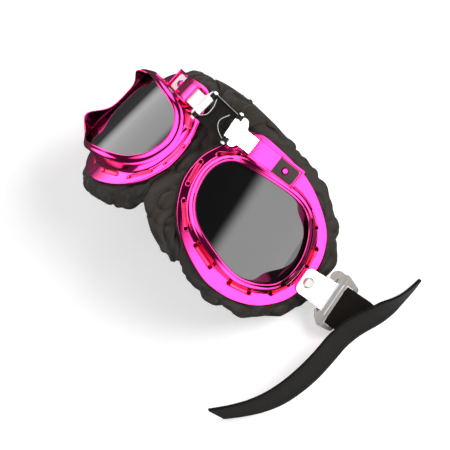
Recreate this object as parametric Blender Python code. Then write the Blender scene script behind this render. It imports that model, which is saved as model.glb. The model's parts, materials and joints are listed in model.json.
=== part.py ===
"""Dog goggles: two deep metallised eyecups on a folding nose bridge, with padding and an elastic strap.

The goggles rest lens side up, folded at the bridge, on the temple edges of their padding. +X runs to the
eyecup with the long strap tails, +Y is the goggles' top edge and +Z is up, away from the face.
Each eyecup is modelled in its own frame: x to the temple, y up, z outward, origin at the lens centre.
The left eyecup's pieces are mirror copies of the right one's in that frame.
"""

import math

import bmesh
import bpy
import numpy as np
from mathutils import Matrix, Vector

MM = 0.001

# Fits shared by all pieces
GAP = 0.3 * MM
OVERRUN = 1.0 * MM
PIN_CLEARANCE = 0.1 * MM

# Lens opening and flange outlines, as shares of their half sizes, anticlockwise from the nose
LENS_WIDTH = 57.6 * MM
LENS_HEIGHT = 44.4 * MM
LENS_OUTLINE_SHARES = (
    (-1.02, 0.16), (-0.91, -0.34), (-0.57, -0.74), (0.22, -1.07), (0.70, -0.92), (0.93, -0.57),
    (0.97, -0.05), (0.82, 0.49), (0.56, 0.80), (0.20, 0.90), (-0.60, 0.87), (-0.85, 0.77), (-0.99, 0.50),
)
FLANGE_WIDTH = 76.0 * MM
FLANGE_HEIGHT = 70.0 * MM
FLANGE_OUTLINE_SHARES = (
    (-0.985, 0.06), (-0.95, -0.15), (-0.81, -0.47), (-0.55, -0.75), (-0.14, -0.97), (0.20, -1.01),
    (0.48, -0.95), (0.71, -0.81), (0.93, -0.52), (1.02, -0.05), (0.88, 0.38), (0.60, 0.67), (0.26, 0.88),
    (-0.16, 0.99), (-0.55, 1.02), (-0.71, 0.82), (-0.85, 0.57), (-0.95, 0.36),
)
OUTLINE_STEPS = 64

# Wrap of the eyecup round the face, about the y axis
CROWN_HEIGHT = 12.5 * MM
RIM_NOSE_RADIUS = 44.0 * MM
RIM_TEMPLE_RADIUS = 32.0 * MM
FLANGE_NOSE_RADIUS = 150.0 * MM
FLANGE_TEMPLE_RADIUS = 75.0 * MM

# Eyecup moulding
FLANGE_THICKNESS = 2.0 * MM
EDGE_BEAD = 0.3 * MM
LIP_WIDTH = 3.3 * MM
LIP_BEAD = 0.5 * MM
LEDGE_DEPTH = 1.7 * MM
LEDGE_WIDTH = 1.2 * MM

# Stitch slots in the flange, each a groove between two holes, ends as shares of the flange's half sizes
SLOT_END_SHARES = (
    ((-0.79, 0.50), (-0.59, 0.64)), ((-0.925, 0.28), (-0.905, -0.05)), ((-0.83, -0.27), (-0.62, -0.56)),
    ((-0.41, -0.67), (-0.12, -0.80)), ((0.18, -0.84), (0.45, -0.80)), ((0.68, -0.65), (0.80, -0.42)),
    ((0.845, 0.18), (0.865, -0.08)), ((0.50, 0.57), (0.69, 0.41)), ((-0.09, 0.67), (0.18, 0.66)),
)
SLOT_WIDTH = 1.6 * MM
SLOT_DEPTH = 0.5 * MM
STITCH_HOLE_DIAMETER = 2.0 * MM

# Lens, its gasket and the ring that holds them
LENS_THICKNESS = 1.5 * MM
GASKET_THICKNESS = 0.6 * MM
RING_THICKNESS = 0.9 * MM
RING_INSET = 0.6 * MM

# Nose bridge: link, pins and plates
FOLD_ANGLE = math.radians(28.5)
LINK_TAPER = math.radians(6.5)
PIN_SPACING = 19.4 * MM
PIN_DIAMETER = 1.4 * MM
PIN_HEAD_DIAMETER = 2.6 * MM
PIN_HEAD_LENGTH = 0.8 * MM
PIN_SIDES = 12
KNUCKLE_DIAMETER = 3.0 * MM
KNUCKLE_LENGTH = 2.4 * MM
BARREL_LENGTH = 9.2 * MM
SHEET = 1.0 * MM
SHEET_RISE = 0.15 * MM
STEP_BACK = 0.15 * MM
LINK_BEAD_DIAMETER = 1.3 * MM
HINGE_X = -31.5 * MM
HINGE_Y = 30.4 * MM
HINGE_Z = 2.7 * MM
TONGUE_TILT = math.radians(-4.0)
TONGUE_WIDTH = 8.0 * MM
TONGUE_LENGTH = 37.2 * MM
TONGUE_SHIFT = -0.5 * MM
SHOULDER_LENGTH = 4.4 * MM
SHOULDER_FILLET = 1.8 * MM
TONGUE_CORNER = 1.4 * MM
COVER_START = 13.2 * MM
COVER_END = 26.0 * MM
COVER_THICKNESS = 0.9 * MM
RAIL_WIDTH = 1.2 * MM
RAIL_RISE = 0.5 * MM
BAY_START = 2.6 * MM
STOP_RIVET_U = 31.2 * MM
STOP_RIVET_DIAMETER = 3.6 * MM
STOP_RIVET_SHANK = 1.6 * MM
STOP_RIVET_RISE = 0.9 * MM
LEFT_SLIDE = 2.4 * MM

# Padding behind the flange
PAD_REACH = 6.6 * MM
PAD_NOSE_REACH = -2.5 * MM
PAD_DEPTH = 15.0 * MM
PAD_NOSE_DEPTH = 3.0 * MM
PAD_INNER_INSET = 1.5 * MM
PAD_GATHER = 0.55 * MM
PAD_GATHERS = 16
PAD_FLAT = 1.5 * MM
TUCK_DENT = 10.6 * MM
TUCK_TURN = math.radians(-9.5)
TUCK_HALF_TURN = math.radians(26.5)
# Where the dented cushion spills round the tucked strap: direction, spread and share of the dent
TUCK_SPILL_SHARES = (
    (math.radians(20.0), math.radians(10.0), 0.62), (TUCK_TURN, math.radians(21.0), -0.52),
    (math.radians(-40.0), math.radians(10.0), 1.1),
)
NOSE_PAD_THICKNESS = 4.8 * MM
NOSE_PAD_LEVEL = -6.6 * MM
# Half widths of the nose cushion along its length, from bottom to top, as shares of its length
NOSE_PAD_LENGTH = 66.0 * MM
NOSE_PAD_END = 15.0 * MM
NOSE_PAD_SHARES = (
    (0.0, 0.075), (0.03, 0.115), (0.09, 0.10), (0.18, 0.066), (0.28, 0.042), (0.38, 0.024), (0.50, 0.022),
    (0.60, 0.038), (0.70, 0.055), (0.79, 0.088), (0.89, 0.125), (0.97, 0.135), (1.0, 0.09),
)

# Strap bracket, its rivet and the buckle
BRACKET_RIVET_X = 36.9 * MM
BRACKET_RIVET_Y = -8.7 * MM
BRACKET_INNER = 3.9 * MM
BRACKET_LENGTH = 12.4 * MM
BRACKET_INNER_WIDTH = 12.6 * MM
BRACKET_OUTER_WIDTH = 14.4 * MM
BRACKET_CORNER = 2.8 * MM
CURL_DIAMETER = 3.6 * MM
RIVET_HEAD_DIAMETER = 5.6 * MM
RIVET_SHANK_DIAMETER = 2.6 * MM
RIVET_HEAD_RISE = 1.0 * MM
BUCKLE_LENGTH = 24.4 * MM
BUCKLE_BODY = 3.3 * MM
BUCKLE_SLOT = 0.8 * MM
BUCKLE_SLOT_LENGTH = 17.0 * MM
BUCKLE_STRIP = 1.1 * MM
STRAP_SLOT = 3.2 * MM
OUTER_BAR = 2.4 * MM
LOOP_SHIFT = -1.3 * MM
SIDE_BAR = 1.5 * MM
BUCKLE_THICKNESS = 1.4 * MM
BUCKLE_ROD_DIAMETER = 1.6 * MM
EAR_RADIUS = 3.9 * MM
HOOK_REACH = 3.6 * MM
HOOK_WIDTH = 2.6 * MM
BUCKLE_SWING_RIGHT = math.radians(25.0)
BUCKLE_SWING_LEFT = math.radians(-118.0)

# Elastic webbing; its routes are shares of its width from the middle of the loop round the buckle's bar, away
# from the bar and along it, with the height above the table for a flat layer and the lean in degrees for the
# band, whose foot is given
STRAP_WIDTH = 20.0 * MM
STRAP_THICKNESS = 1.5 * MM
STRAP_PLAY = 0.3 * MM
LOOP_STEPS = 6
BAND_FOOT_SHARES = (
    (-0.97, -3.71, 92), (-0.57, -3.37, 93), (-0.21, -3.00, 94), (0.08, -2.59, 95), (0.28, -2.14, 95),
    (0.42, -1.68, 95), (0.50, -1.20, 94), (0.56, -0.72, 94), (0.62, -0.49, 94), (0.70, -0.27, 95),
    (0.81, -0.05, 95), (0.93, 0.17, 94), (1.02, 0.38, 92), (1.09, 0.61, 89), (1.13, 0.85, 81),
    (1.16, 1.08, 75), (1.18, 1.32, 71), (1.19, 1.56, 68),
)
LOOP_UPPER_SHARES = ((0.68, -0.09, 0.11), (0.55, -0.03, 0.11), (0.43, 0.0, 0.11), (0.33, 0.0, 0.12))
LOOP_LOWER_SHARES = ((0.25, 0.0, 0.0), (0.43, 0.0, 0.0), (0.55, -0.03, 0.0), (0.68, -0.09, 0.0))
TUCKED_LOWER_SHARES = ((0.62, 0.0, 0.0), (0.5, 0.0, 0.0), (0.4, 0.0, 0.03), (0.3, 0.0, 0.1))
TUCKED_UPPER_SHARES = ((0.35, 0.0, 0.21), (0.45, 0.0, 0.14), (0.53, 0.0, 0.11))


def clear_scene():
    """Remove every object that the file opened with."""
    for obj in list(bpy.data.objects):
        bpy.data.objects.remove(obj, do_unlink=True)


def make_collection(name):
    """Return a new collection linked to the scene."""
    group = bpy.data.collections.new(name)
    bpy.context.scene.collection.children.link(group)
    return group


def make_material(name, colour, roughness, metallic, alpha=1.0):
    """Return a Principled material."""
    material = bpy.data.materials.new(name)
    material.use_nodes = True
    shader = material.node_tree.nodes["Principled BSDF"]
    shader.inputs["Base Color"].default_value = (*colour, 1.0)
    shader.inputs["Roughness"].default_value = roughness
    shader.inputs["Metallic"].default_value = metallic
    shader.inputs["Alpha"].default_value = alpha
    return material


def make_empty(name, parent, matrix, group):
    """Return an empty that carries a frame of axes."""
    empty = bpy.data.objects.new(name, None)
    empty.empty_display_size = STRAP_WIDTH
    group.objects.link(empty)
    empty.parent = parent
    empty.matrix_local = matrix
    return empty


def make_object(name, mesh, parent, material, group):
    """Return an object in its parent's frame."""
    obj = bpy.data.objects.new(name, mesh)
    mesh.materials.clear()
    mesh.materials.append(material)
    group.objects.link(obj)
    obj.parent = parent
    return obj


def mesh_from(build):
    """Return the mesh of a bmesh that `build` fills, with its normals facing out."""
    body = bmesh.new()
    build(body)
    bmesh.ops.recalc_face_normals(body, faces=body.faces)
    mesh = bpy.data.meshes.new("shape")
    body.to_mesh(mesh)
    body.free()
    return mesh


def smooth(mesh, angle=math.radians(35.0)):
    """Shade a mesh smooth with sharp edges kept."""
    mesh.shade_smooth()
    mesh.set_sharp_from_angle(angle=angle)
    return mesh


def box_mesh(low, high, bevel=0.0):
    """Return a box between two corners, its upright edges rounded when `bevel` is given."""
    low, high = Vector(low), Vector(high)

    def build(body):
        size = high - low
        matrix = Matrix.Translation((low + high) / 2) @ Matrix.Diagonal((*size, 1.0))
        bmesh.ops.create_cube(body, size=1.0, matrix=matrix)
        if bevel > 0.0:
            upright = [e for e in body.edges if abs((e.verts[0].co - e.verts[1].co).z) > size.z / 2]
            bmesh.ops.bevel(body, geom=upright, offset=bevel, segments=3, profile=0.5, affect="EDGES")

    return mesh_from(build)


def rod_mesh(diameter, start, end, sides=16, end_diameter=None):
    """Return a capped cylinder or cone between two points."""
    start, end = Vector(start), Vector(end)
    along = end - start
    turn = along.to_track_quat("Z", "Y").to_matrix().to_4x4()
    matrix = Matrix.Translation((start + end) / 2) @ turn

    def build(body):
        bmesh.ops.create_cone(body, cap_ends=True, segments=sides, radius1=diameter / 2,
                              radius2=(end_diameter or diameter) / 2, depth=along.length, matrix=matrix)

    return mesh_from(build)


def sheet_mesh(outlines, thickness, centre_z):
    """Return flat stock cut to closed outlines, holes included, centred on a height."""
    curve = bpy.data.curves.new("outline", "CURVE")
    curve.dimensions = "2D"
    curve.fill_mode = "BOTH"
    curve.extrude = thickness / 2
    for points in outlines:
        spline = curve.splines.new("POLY")
        spline.points.add(len(points) - 1)
        for point, (x, y) in zip(spline.points, points):
            point.co = (x, y, 0.0, 1.0)
        spline.use_cyclic_u = True
    guide = bpy.data.objects.new("outline", curve)
    bpy.context.scene.collection.objects.link(guide)
    mesh = bpy.data.meshes.new_from_object(guide.evaluated_get(bpy.context.evaluated_depsgraph_get()))
    bpy.data.objects.remove(guide)
    body = bmesh.new()
    body.from_mesh(mesh)
    bmesh.ops.remove_doubles(body, verts=body.verts, dist=thickness / 1000)
    bmesh.ops.translate(body, verts=body.verts, vec=(0.0, 0.0, centre_z))
    bmesh.ops.recalc_face_normals(body, faces=body.faces)
    body.to_mesh(mesh)
    body.free()
    return mesh


def arc(centre, radius, start, end, steps):
    """Return points along an arc, both ends included; angles in degrees."""
    angles = np.radians(np.linspace(start, end, steps + 1))
    return [(centre[0] + radius * math.cos(a), centre[1] + radius * math.sin(a)) for a in angles]


def rounded_corner(previous, corner, following, radius, steps=3):
    """Return the points of a fillet at a corner of an outline."""
    corner = Vector(corner)
    back = (Vector(previous) - corner).normalized()
    ahead = (Vector(following) - corner).normalized()
    half = back.angle(ahead) / 2
    reach = radius / math.tan(half)
    start, end = corner + back * reach, corner + ahead * reach
    centre = corner + (back + ahead).normalized() * (radius / math.sin(half))
    points = []
    for step in range(steps + 1):
        spoke = start.lerp(end, step / steps) - centre
        points.append(tuple(centre + spoke.normalized() * radius))
    return points


def rounded_outline(corners):
    """Return an outline whose corners (x, y, radius) are filleted."""
    points = []
    for index, (x, y, radius) in enumerate(corners):
        before = corners[index - 1][:2]
        after = corners[(index + 1) % len(corners)][:2]
        points += rounded_corner(before, (x, y), after, radius) if radius > 0.0 else [(x, y)]
    return points


class Workshop:
    """Boolean work on objects, with the cutters kept apart from the parts."""

    def __init__(self, parts, cutters):
        self.parts = parts
        self.cutters = cutters

    def combine(self, obj, mesh, operation, name, touching=False):
        """Union or subtract a mesh given in the object's own frame; `touching` where it lies along faces."""
        tool = bpy.data.objects.new(name, mesh)
        self.cutters.objects.link(tool)
        tool.hide_render = True
        tool.display_type = "WIRE"
        tool.parent = obj.parent
        modifier = obj.modifiers.new(name, "BOOLEAN")
        modifier.operation = operation
        modifier.object = tool
        modifier.use_self = touching

    def cut(self, obj, mesh, name, touching=False):
        """Subtract a mesh."""
        self.combine(obj, mesh, "DIFFERENCE", name, touching)

    def join(self, obj, mesh, name):
        """Union a mesh."""
        self.combine(obj, mesh, "UNION", name)

    def settle(self, obj):
        """Apply the modifiers, so that a mirror copy can be taken."""
        bpy.context.view_layer.update()
        graph = bpy.context.evaluated_depsgraph_get()
        mesh = bpy.data.meshes.new_from_object(obj.evaluated_get(graph))
        obj.modifiers.clear()
        obj.data = mesh
        smooth(mesh)

    def mirrored(self, obj, name, parent):
        """Return the left-hand copy of a right-hand object."""
        mesh = obj.data.copy()
        mesh.transform(Matrix.Scale(-1.0, 4, (1.0, 0.0, 0.0)))
        mesh.flip_normals()
        return make_object(name, mesh, parent, obj.data.materials[0], self.parts)

    def flatten(self, obj, level):
        """Cut an object flat where it stands on the table at a level."""
        reach = FLANGE_WIDTH * 2
        mesh = box_mesh((-reach, -reach, level - reach), (reach, reach, level))
        mesh.transform(obj.parent.matrix_world.inverted())
        self.cut(obj, mesh, "table_cut")
        self.settle(obj)


def lowest(objects):
    """Return the lowest height of the objects."""
    return min((obj.matrix_world @ vertex.co).z for obj in objects for vertex in obj.data.vertices)


class Outline:
    """A smooth closed outline about the lens centre, sampled by direction."""

    def __init__(self, shares, width, height, steps=OUTLINE_STEPS):
        points = np.array(shares) * (width / 2, height / 2)
        dense = self.spline(points)
        angles = np.unwrap(np.arctan2(dense[:, 1], dense[:, 0]))
        order = np.argsort(angles)
        turns = np.linspace(0.0, 2 * math.pi, steps, endpoint=False)
        radii = np.hypot(dense[:, 0], dense[:, 1])
        self.turns = turns
        reach = np.interp(turns, angles[order], radii[order], period=2 * math.pi)
        self.points = np.stack([reach * np.cos(turns), reach * np.sin(turns)], 1)
        ahead = np.roll(self.points, -1, 0) - np.roll(self.points, 1, 0)
        ahead /= np.linalg.norm(ahead, axis=1)[:, None]
        self.normals = np.stack([ahead[:, 1], -ahead[:, 0]], 1)

    @staticmethod
    def spline(points, pieces=24):
        """Return a dense closed Catmull-Rom curve through the points."""
        before, after, beyond = np.roll(points, 1, 0), np.roll(points, -1, 0), np.roll(points, -2, 0)
        t = np.linspace(0.0, 1.0, pieces, endpoint=False)[None, :, None]
        p0, p1, p2, p3 = (p[:, None, :] for p in (before, points, after, beyond))
        curve = p1 + (p2 - p0) * t / 2 + (2 * p0 - 5 * p1 + 4 * p2 - p3) * t ** 2 / 2
        curve = curve + (3 * p1 - p0 - 3 * p2 + p3) * t ** 3 / 2
        return curve.reshape(-1, 2)

    def offset(self, distance):
        """Return the outline moved out by a distance, one value or one a point."""
        return self.points + self.normals * np.reshape(distance, (-1, 1))


def wrap(x, nose_radius, temple_radius):
    """Return how far a surface has fallen back at x, from its wrap round the face."""
    return np.where(x < 0.0, x ** 2 / (2 * nose_radius), x ** 2 / (2 * temple_radius))


def rim_height(x):
    """Return the height of the lip's crest at x."""
    return CROWN_HEIGHT - wrap(x, RIM_NOSE_RADIUS, RIM_TEMPLE_RADIUS)


def flange_height(x):
    """Return the height of the flange's front face at x."""
    return -wrap(x, FLANGE_NOSE_RADIUS, FLANGE_TEMPLE_RADIUS)


def flange_normal(x):
    """Return the flange's outward direction at x."""
    radius = FLANGE_NOSE_RADIUS if x < 0.0 else FLANGE_TEMPLE_RADIUS
    return Vector((x / radius, 0.0, 1.0)).normalized()


def rim_ring(outline, offset, drop):
    """Return a ring that follows the lip at an offset and a drop below its crest."""
    xy = outline.offset(offset)
    return np.column_stack([xy, rim_height(xy[:, 0]) - drop])


def flange_ring(outline, offset, drop):
    """Return a ring that follows the flange at an offset from its edge and a drop below its face."""
    xy = outline.offset(offset)
    return np.column_stack([xy, flange_height(xy[:, 0]) - drop])


def loft_mesh(rings):
    """Return the closed body whose section runs through the rings in turn and back to the first."""
    count = len(rings[0])

    def build(body):
        rows = [[body.verts.new(point) for point in ring] for ring in rings]
        for row, following in zip(rows, rows[1:] + rows[:1]):
            for i in range(count):
                j = (i + 1) % count
                body.faces.new((row[i], row[j], following[j], following[i]))

    return smooth(mesh_from(build))


def tube_mesh(rings, split=False):
    """Return the closed body through a row of rings, with flat ends; `split` cuts its faces in triangles."""
    count = len(rings[0])

    def build(body):
        rows = [[body.verts.new(point) for point in ring] for ring in rings]
        for row, following in zip(rows, rows[1:]):
            for i in range(count):
                j = (i + 1) % count
                body.faces.new((row[i], row[j], following[j], following[i]))
        body.faces.new(rows[0])
        body.faces.new(rows[-1])
        if split:
            bmesh.ops.triangulate(body, faces=body.faces)

    return smooth(mesh_from(build))


def disc_mesh(rings):
    """Return the closed body between two capped ends, each the middle line of a domed face."""
    count = len(rings[0])

    def build(body):
        rows = [[body.verts.new(point) for point in ring] for ring in rings]
        for row, following in zip(rows, rows[1:]):
            for i in range(count):
                j = (i + 1) % count
                body.faces.new((row[i], row[j], following[j], following[i]))
        half = count // 2
        for row in (rows[0], rows[-1]):
            for i in range(half):
                a, b = row[i], row[i + 1]
                c, d = row[(count - i - 1) % count], row[(count - i) % count]
                corners = [v for n, v in enumerate((a, b, c, d)) if v not in (a, b, c, d)[:n]]
                if len(corners) > 2:
                    body.faces.new(corners)

    return mesh_from(build)


class Eyecup:
    """The pieces of one eyecup, in its own frame."""

    def __init__(self, shop, materials):
        self.shop = shop
        self.materials = materials
        self.lens = Outline(LENS_OUTLINE_SHARES, LENS_WIDTH, LENS_HEIGHT)
        self.coarse = Outline(LENS_OUTLINE_SHARES, LENS_WIDTH, LENS_HEIGHT, OUTLINE_STEPS // 2)
        self.flange = Outline(FLANGE_OUTLINE_SHARES, FLANGE_WIDTH, FLANGE_HEIGHT)

    def between(self, share, height_share):
        """Return a ring part of the way from under the lip to the flange's edge, and part way up."""
        inner = self.lens.offset(LIP_WIDTH - LIP_BEAD)
        outer = self.flange.offset(-EDGE_BEAD - RAIL_WIDTH)
        xy = inner + (outer - inner) * share
        top = rim_height(inner[:, 0]) - LEDGE_DEPTH - LIP_BEAD
        foot = flange_height(xy[:, 0])
        return np.column_stack([xy, foot + (top - foot) * height_share])

    def frame(self, parent):
        """Model the moulding: lip with two beads, hollow wall, flange, slots and plate channel."""
        lens, flange = self.lens, self.flange
        inner_foot = self.between(0.30, 0.0) - (0.0, 0.0, FLANGE_THICKNESS)
        rings = [
            rim_ring(lens, 0.0, LEDGE_DEPTH),
            rim_ring(lens, 0.0, LIP_BEAD),
            rim_ring(lens, LIP_WIDTH * 0.16, 0.0),
            rim_ring(lens, LIP_WIDTH * 0.34, LIP_BEAD * 0.4),
            rim_ring(lens, LIP_WIDTH * 0.50, LIP_BEAD * 1.8),
            rim_ring(lens, LIP_WIDTH * 0.66, LIP_BEAD * 0.9),
            rim_ring(lens, LIP_WIDTH * 0.88, LIP_BEAD * 1.1),
            rim_ring(lens, LIP_WIDTH, LIP_BEAD * 2.4),
            rim_ring(lens, LIP_WIDTH * 0.92, LEDGE_DEPTH),
            self.between(0.04, 0.72),
            self.between(0.13, 0.34),
            self.between(0.30, 0.09),
            self.between(0.52, 0.0),
            self.between(1.0, 0.0),
            flange_ring(flange, -EDGE_BEAD - RAIL_WIDTH / 3, -EDGE_BEAD),
            flange_ring(flange, 0.0, EDGE_BEAD),
            flange_ring(flange, 0.0, FLANGE_THICKNESS - EDGE_BEAD),
            flange_ring(flange, -EDGE_BEAD, FLANGE_THICKNESS),
            inner_foot,
            rim_ring(lens, LEDGE_WIDTH, self.shelf_depth()),
            rim_ring(lens, LEDGE_WIDTH, LEDGE_DEPTH),
        ]
        obj = make_object("frame_right", loft_mesh(rings), parent, self.materials["pink"], self.shop.parts)
        self.add_channel(obj)
        self.cut_slots(obj)
        shank = RIVET_SHANK_DIAMETER + 2 * GAP
        middle = self.bracket_rivet_point()
        normal = flange_normal(BRACKET_RIVET_X)
        reach = normal * (FLANGE_THICKNESS + OVERRUN)
        self.shop.cut(obj, rod_mesh(shank, middle - reach, middle + reach, 12), "bracket_hole")
        self.shop.settle(obj)
        return obj

    @staticmethod
    def shelf_depth():
        """Return how far below the crest the lens pocket ends."""
        return LEDGE_DEPTH + LENS_THICKNESS + GASKET_THICKNESS + RING_THICKNESS + 3 * GAP

    @staticmethod
    def bracket_rivet_point():
        """Return the point on the flange's front face where the strap bracket is riveted."""
        return Vector((BRACKET_RIVET_X, BRACKET_RIVET_Y, float(flange_height(BRACKET_RIVET_X))))

    @staticmethod
    def channel_frame():
        """Return the frame of the bridge plate's tongue: u along it, origin on the hinge's axis."""
        return Matrix.Translation((HINGE_X, HINGE_Y, HINGE_Z)) @ Matrix.Rotation(TONGUE_TILT, 4, "Z")

    def add_channel(self, obj):
        """Add the raised channel with its cover, and cut the bay, the tunnel and the tab's recess."""
        plate_top, plate_base = plate_levels()
        half = TONGUE_WIDTH / 2 + GAP
        side = half + RAIL_WIDTH
        end = TONGUE_LENGTH + GAP
        low, high = TONGUE_SHIFT - side, TONGUE_SHIFT + side
        foot = -HINGE_Z - FLANGE_THICKNESS * 0.7
        roof = plate_top + GAP + COVER_THICKNESS
        frame = self.channel_frame()

        def in_cup(mesh):
            mesh.transform(frame)
            return mesh

        base = box_mesh((COVER_END - OVERRUN, low + STEP_BACK, foot + STEP_BACK),
                        (end + RAIL_WIDTH, high - STEP_BACK, plate_top), RAIL_WIDTH)
        cover = box_mesh((COVER_START, low, foot), (COVER_END, high, roof + RAIL_RISE))
        self.shop.join(obj, in_cup(base), "channel_base")
        self.shop.join(obj, in_cup(cover), "channel_cover")
        floor = plate_base - GAP
        between_rails = box_mesh((COVER_START - OVERRUN, low + RAIL_WIDTH, roof),
                                 (COVER_END + OVERRUN, high - RAIL_WIDTH, roof + RAIL_RISE + OVERRUN))
        tunnel = box_mesh((COVER_START - OVERRUN, TONGUE_SHIFT - half, floor),
                          (end, TONGUE_SHIFT + half, plate_top + GAP))
        recess = box_mesh((COVER_END, TONGUE_SHIFT - half - STEP_BACK, floor + STEP_BACK),
                          (end + STEP_BACK, TONGUE_SHIFT + half + STEP_BACK, roof + RAIL_RISE + OVERRUN))
        bay = box_mesh((BAY_START, TONGUE_SHIFT - half - GAP, foot - FLANGE_THICKNESS - OVERRUN),
                       (COVER_START + STEP_BACK, TONGUE_SHIFT + half + GAP, roof + RAIL_RISE + OVERRUN))
        self.shop.cut(obj, in_cup(between_rails), "between_rails")
        self.shop.cut(obj, in_cup(tunnel), "tunnel", True)
        self.shop.cut(obj, in_cup(recess), "tab_recess")
        self.shop.cut(obj, in_cup(bay), "tongue_bay")

    def cut_slots(self, obj):
        """Cut the stitch slots: a shallow groove and a hole at each of its ends."""
        half = np.array((FLANGE_WIDTH, FLANGE_HEIGHT)) / 2
        grooves, holes = [], []
        for start, end in SLOT_END_SHARES:
            ends = []
            for share in (start, end):
                x, y = np.array(share) * half
                ends.append(Vector((x, y, float(flange_height(x)))))
            middle = (ends[0] + ends[1]) / 2
            along = ends[1] - ends[0]
            normal = flange_normal(middle.x)
            for point in ends:
                reach = normal * (FLANGE_THICKNESS + OVERRUN)
                holes.append(rod_mesh(STITCH_HOLE_DIAMETER, point - reach, point + reach, 8))
            groove = box_mesh((-along.length / 2, -SLOT_WIDTH / 2, -SLOT_DEPTH),
                              (along.length / 2, SLOT_WIDTH / 2, OVERRUN))
            side = normal.cross(along).normalized()
            up = along.normalized().cross(side)
            turn = Matrix((along.normalized(), side, up)).transposed().to_4x4()
            groove.transform(Matrix.Translation(middle) @ turn)
            grooves.append(groove)
        self.shop.cut(obj, merged(grooves), "slot_grooves")
        self.shop.cut(obj, merged(holes), "stitch_holes")

    def pocket_ring(self, name, inner, outer, top, thickness, material, parent):
        """Model a thin ring in the lens pocket, at a drop below the crest."""
        around = self.coarse
        rings = [rim_ring(around, inner, top), rim_ring(around, outer, top),
                 rim_ring(around, outer, top + thickness), rim_ring(around, inner, top + thickness)]
        return make_object(name, loft_mesh(rings), parent, self.materials[material], self.shop.parts)

    def lens_stack(self, parent):
        """Model the lens and, behind it, its gasket and the ring that holds both."""
        edge = LEDGE_WIDTH - GAP
        front = LEDGE_DEPTH + GAP
        rings = [rim_ring(self.lens, edge, front), rim_ring(self.lens, edge, front + LENS_THICKNESS)]
        lens = make_object("lens_right", disc_mesh(rings), parent, self.materials["smoke"], self.shop.parts)
        seal = front + LENS_THICKNESS + GAP
        gasket = self.pocket_ring("lens_gasket_right", -RING_INSET, edge, seal, GASKET_THICKNESS, "rubber",
                                  parent)
        hold = seal + GASKET_THICKNESS + GAP
        ring = self.pocket_ring("retainer_ring_right", -RING_INSET, edge, hold, RING_THICKNESS, "black",
                                parent)
        return [lens, gasket, ring]

    def pad(self, name, parent, dent):
        """Model the cushion ring, gathered round its edge; `dent` is the tuck for a folded strap."""
        lens, flange = self.lens, self.flange
        turns = flange.turns
        nose = np.maximum(0.0, -np.cos(turns)) ** 3
        turned = np.angle(np.exp(1j * (turns - TUCK_TURN)))
        tuck = dent * np.exp(-((turned / TUCK_HALF_TURN) ** 6))
        gather = PAD_GATHER * np.cos(PAD_GATHERS * turns)
        reach = PAD_REACH + (PAD_NOSE_REACH - PAD_REACH) * nose
        depth = PAD_DEPTH + (PAD_NOSE_DEPTH - PAD_DEPTH) * nose
        for towards, spread, share in TUCK_SPILL_SHARES:
            turned = np.angle(np.exp(1j * (turns - towards)))
            depth = depth + dent * share * np.exp(-((turned / spread) ** 2))

        def outer_ring(reach_share, depth_share, inset=0.0):
            start = FLANGE_THICKNESS + GAP
            gathered = gather * reach_share * (1.0 - nose)
            return flange_ring(flange, reach * reach_share + gathered - tuck * depth_share ** 0.5 - inset,
                               start + depth * depth_share)

        def inner_ring(depth_share):
            xy = lens.offset(LIP_WIDTH + PAD_INNER_INSET)
            drop = FLANGE_THICKNESS + GAP + depth * depth_share
            return np.column_stack([xy, flange_height(xy[:, 0]) - drop])

        rings = [
            inner_ring(0.0),
            outer_ring(0.0, 0.0, EDGE_BEAD + RAIL_WIDTH),
            outer_ring(0.45, 0.06),
            outer_ring(0.88, 0.28),
            outer_ring(1.0, 0.55),
            outer_ring(0.72, 0.84),
            outer_ring(0.15, 0.99),
            outer_ring(-0.5, 1.0) * 0.5 + inner_ring(1.05) * 0.5,
            inner_ring(0.92),
            inner_ring(0.5),
        ]
        obj = make_object(name, loft_mesh(rings), parent, self.materials["padding"], self.shop.parts)
        normal = flange_normal(BRACKET_RIVET_X)
        face = self.bracket_rivet_point() - normal * FLANGE_THICKNESS
        depth = StrapHardware.tail_length() + GAP
        pocket = rod_mesh(StrapHardware.tail_diameter() + 2 * GAP, face, face - normal * depth)
        self.shop.cut(obj, pocket, "rivet_pocket")
        self.shop.settle(obj)
        return obj


def merged(meshes):
    """Return one mesh holding several separate closed shapes."""
    body = bmesh.new()
    for mesh in meshes:
        body.from_mesh(mesh)
        bpy.data.meshes.remove(mesh)
    mesh = bpy.data.meshes.new("merged")
    body.to_mesh(mesh)
    body.free()
    return mesh


def plate_levels():
    """Return the top and base heights of the bridge's sheet metal, from the pin's axis."""
    base = SHEET_RISE - KNUCKLE_DIAMETER / 2
    return base + SHEET, base


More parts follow.
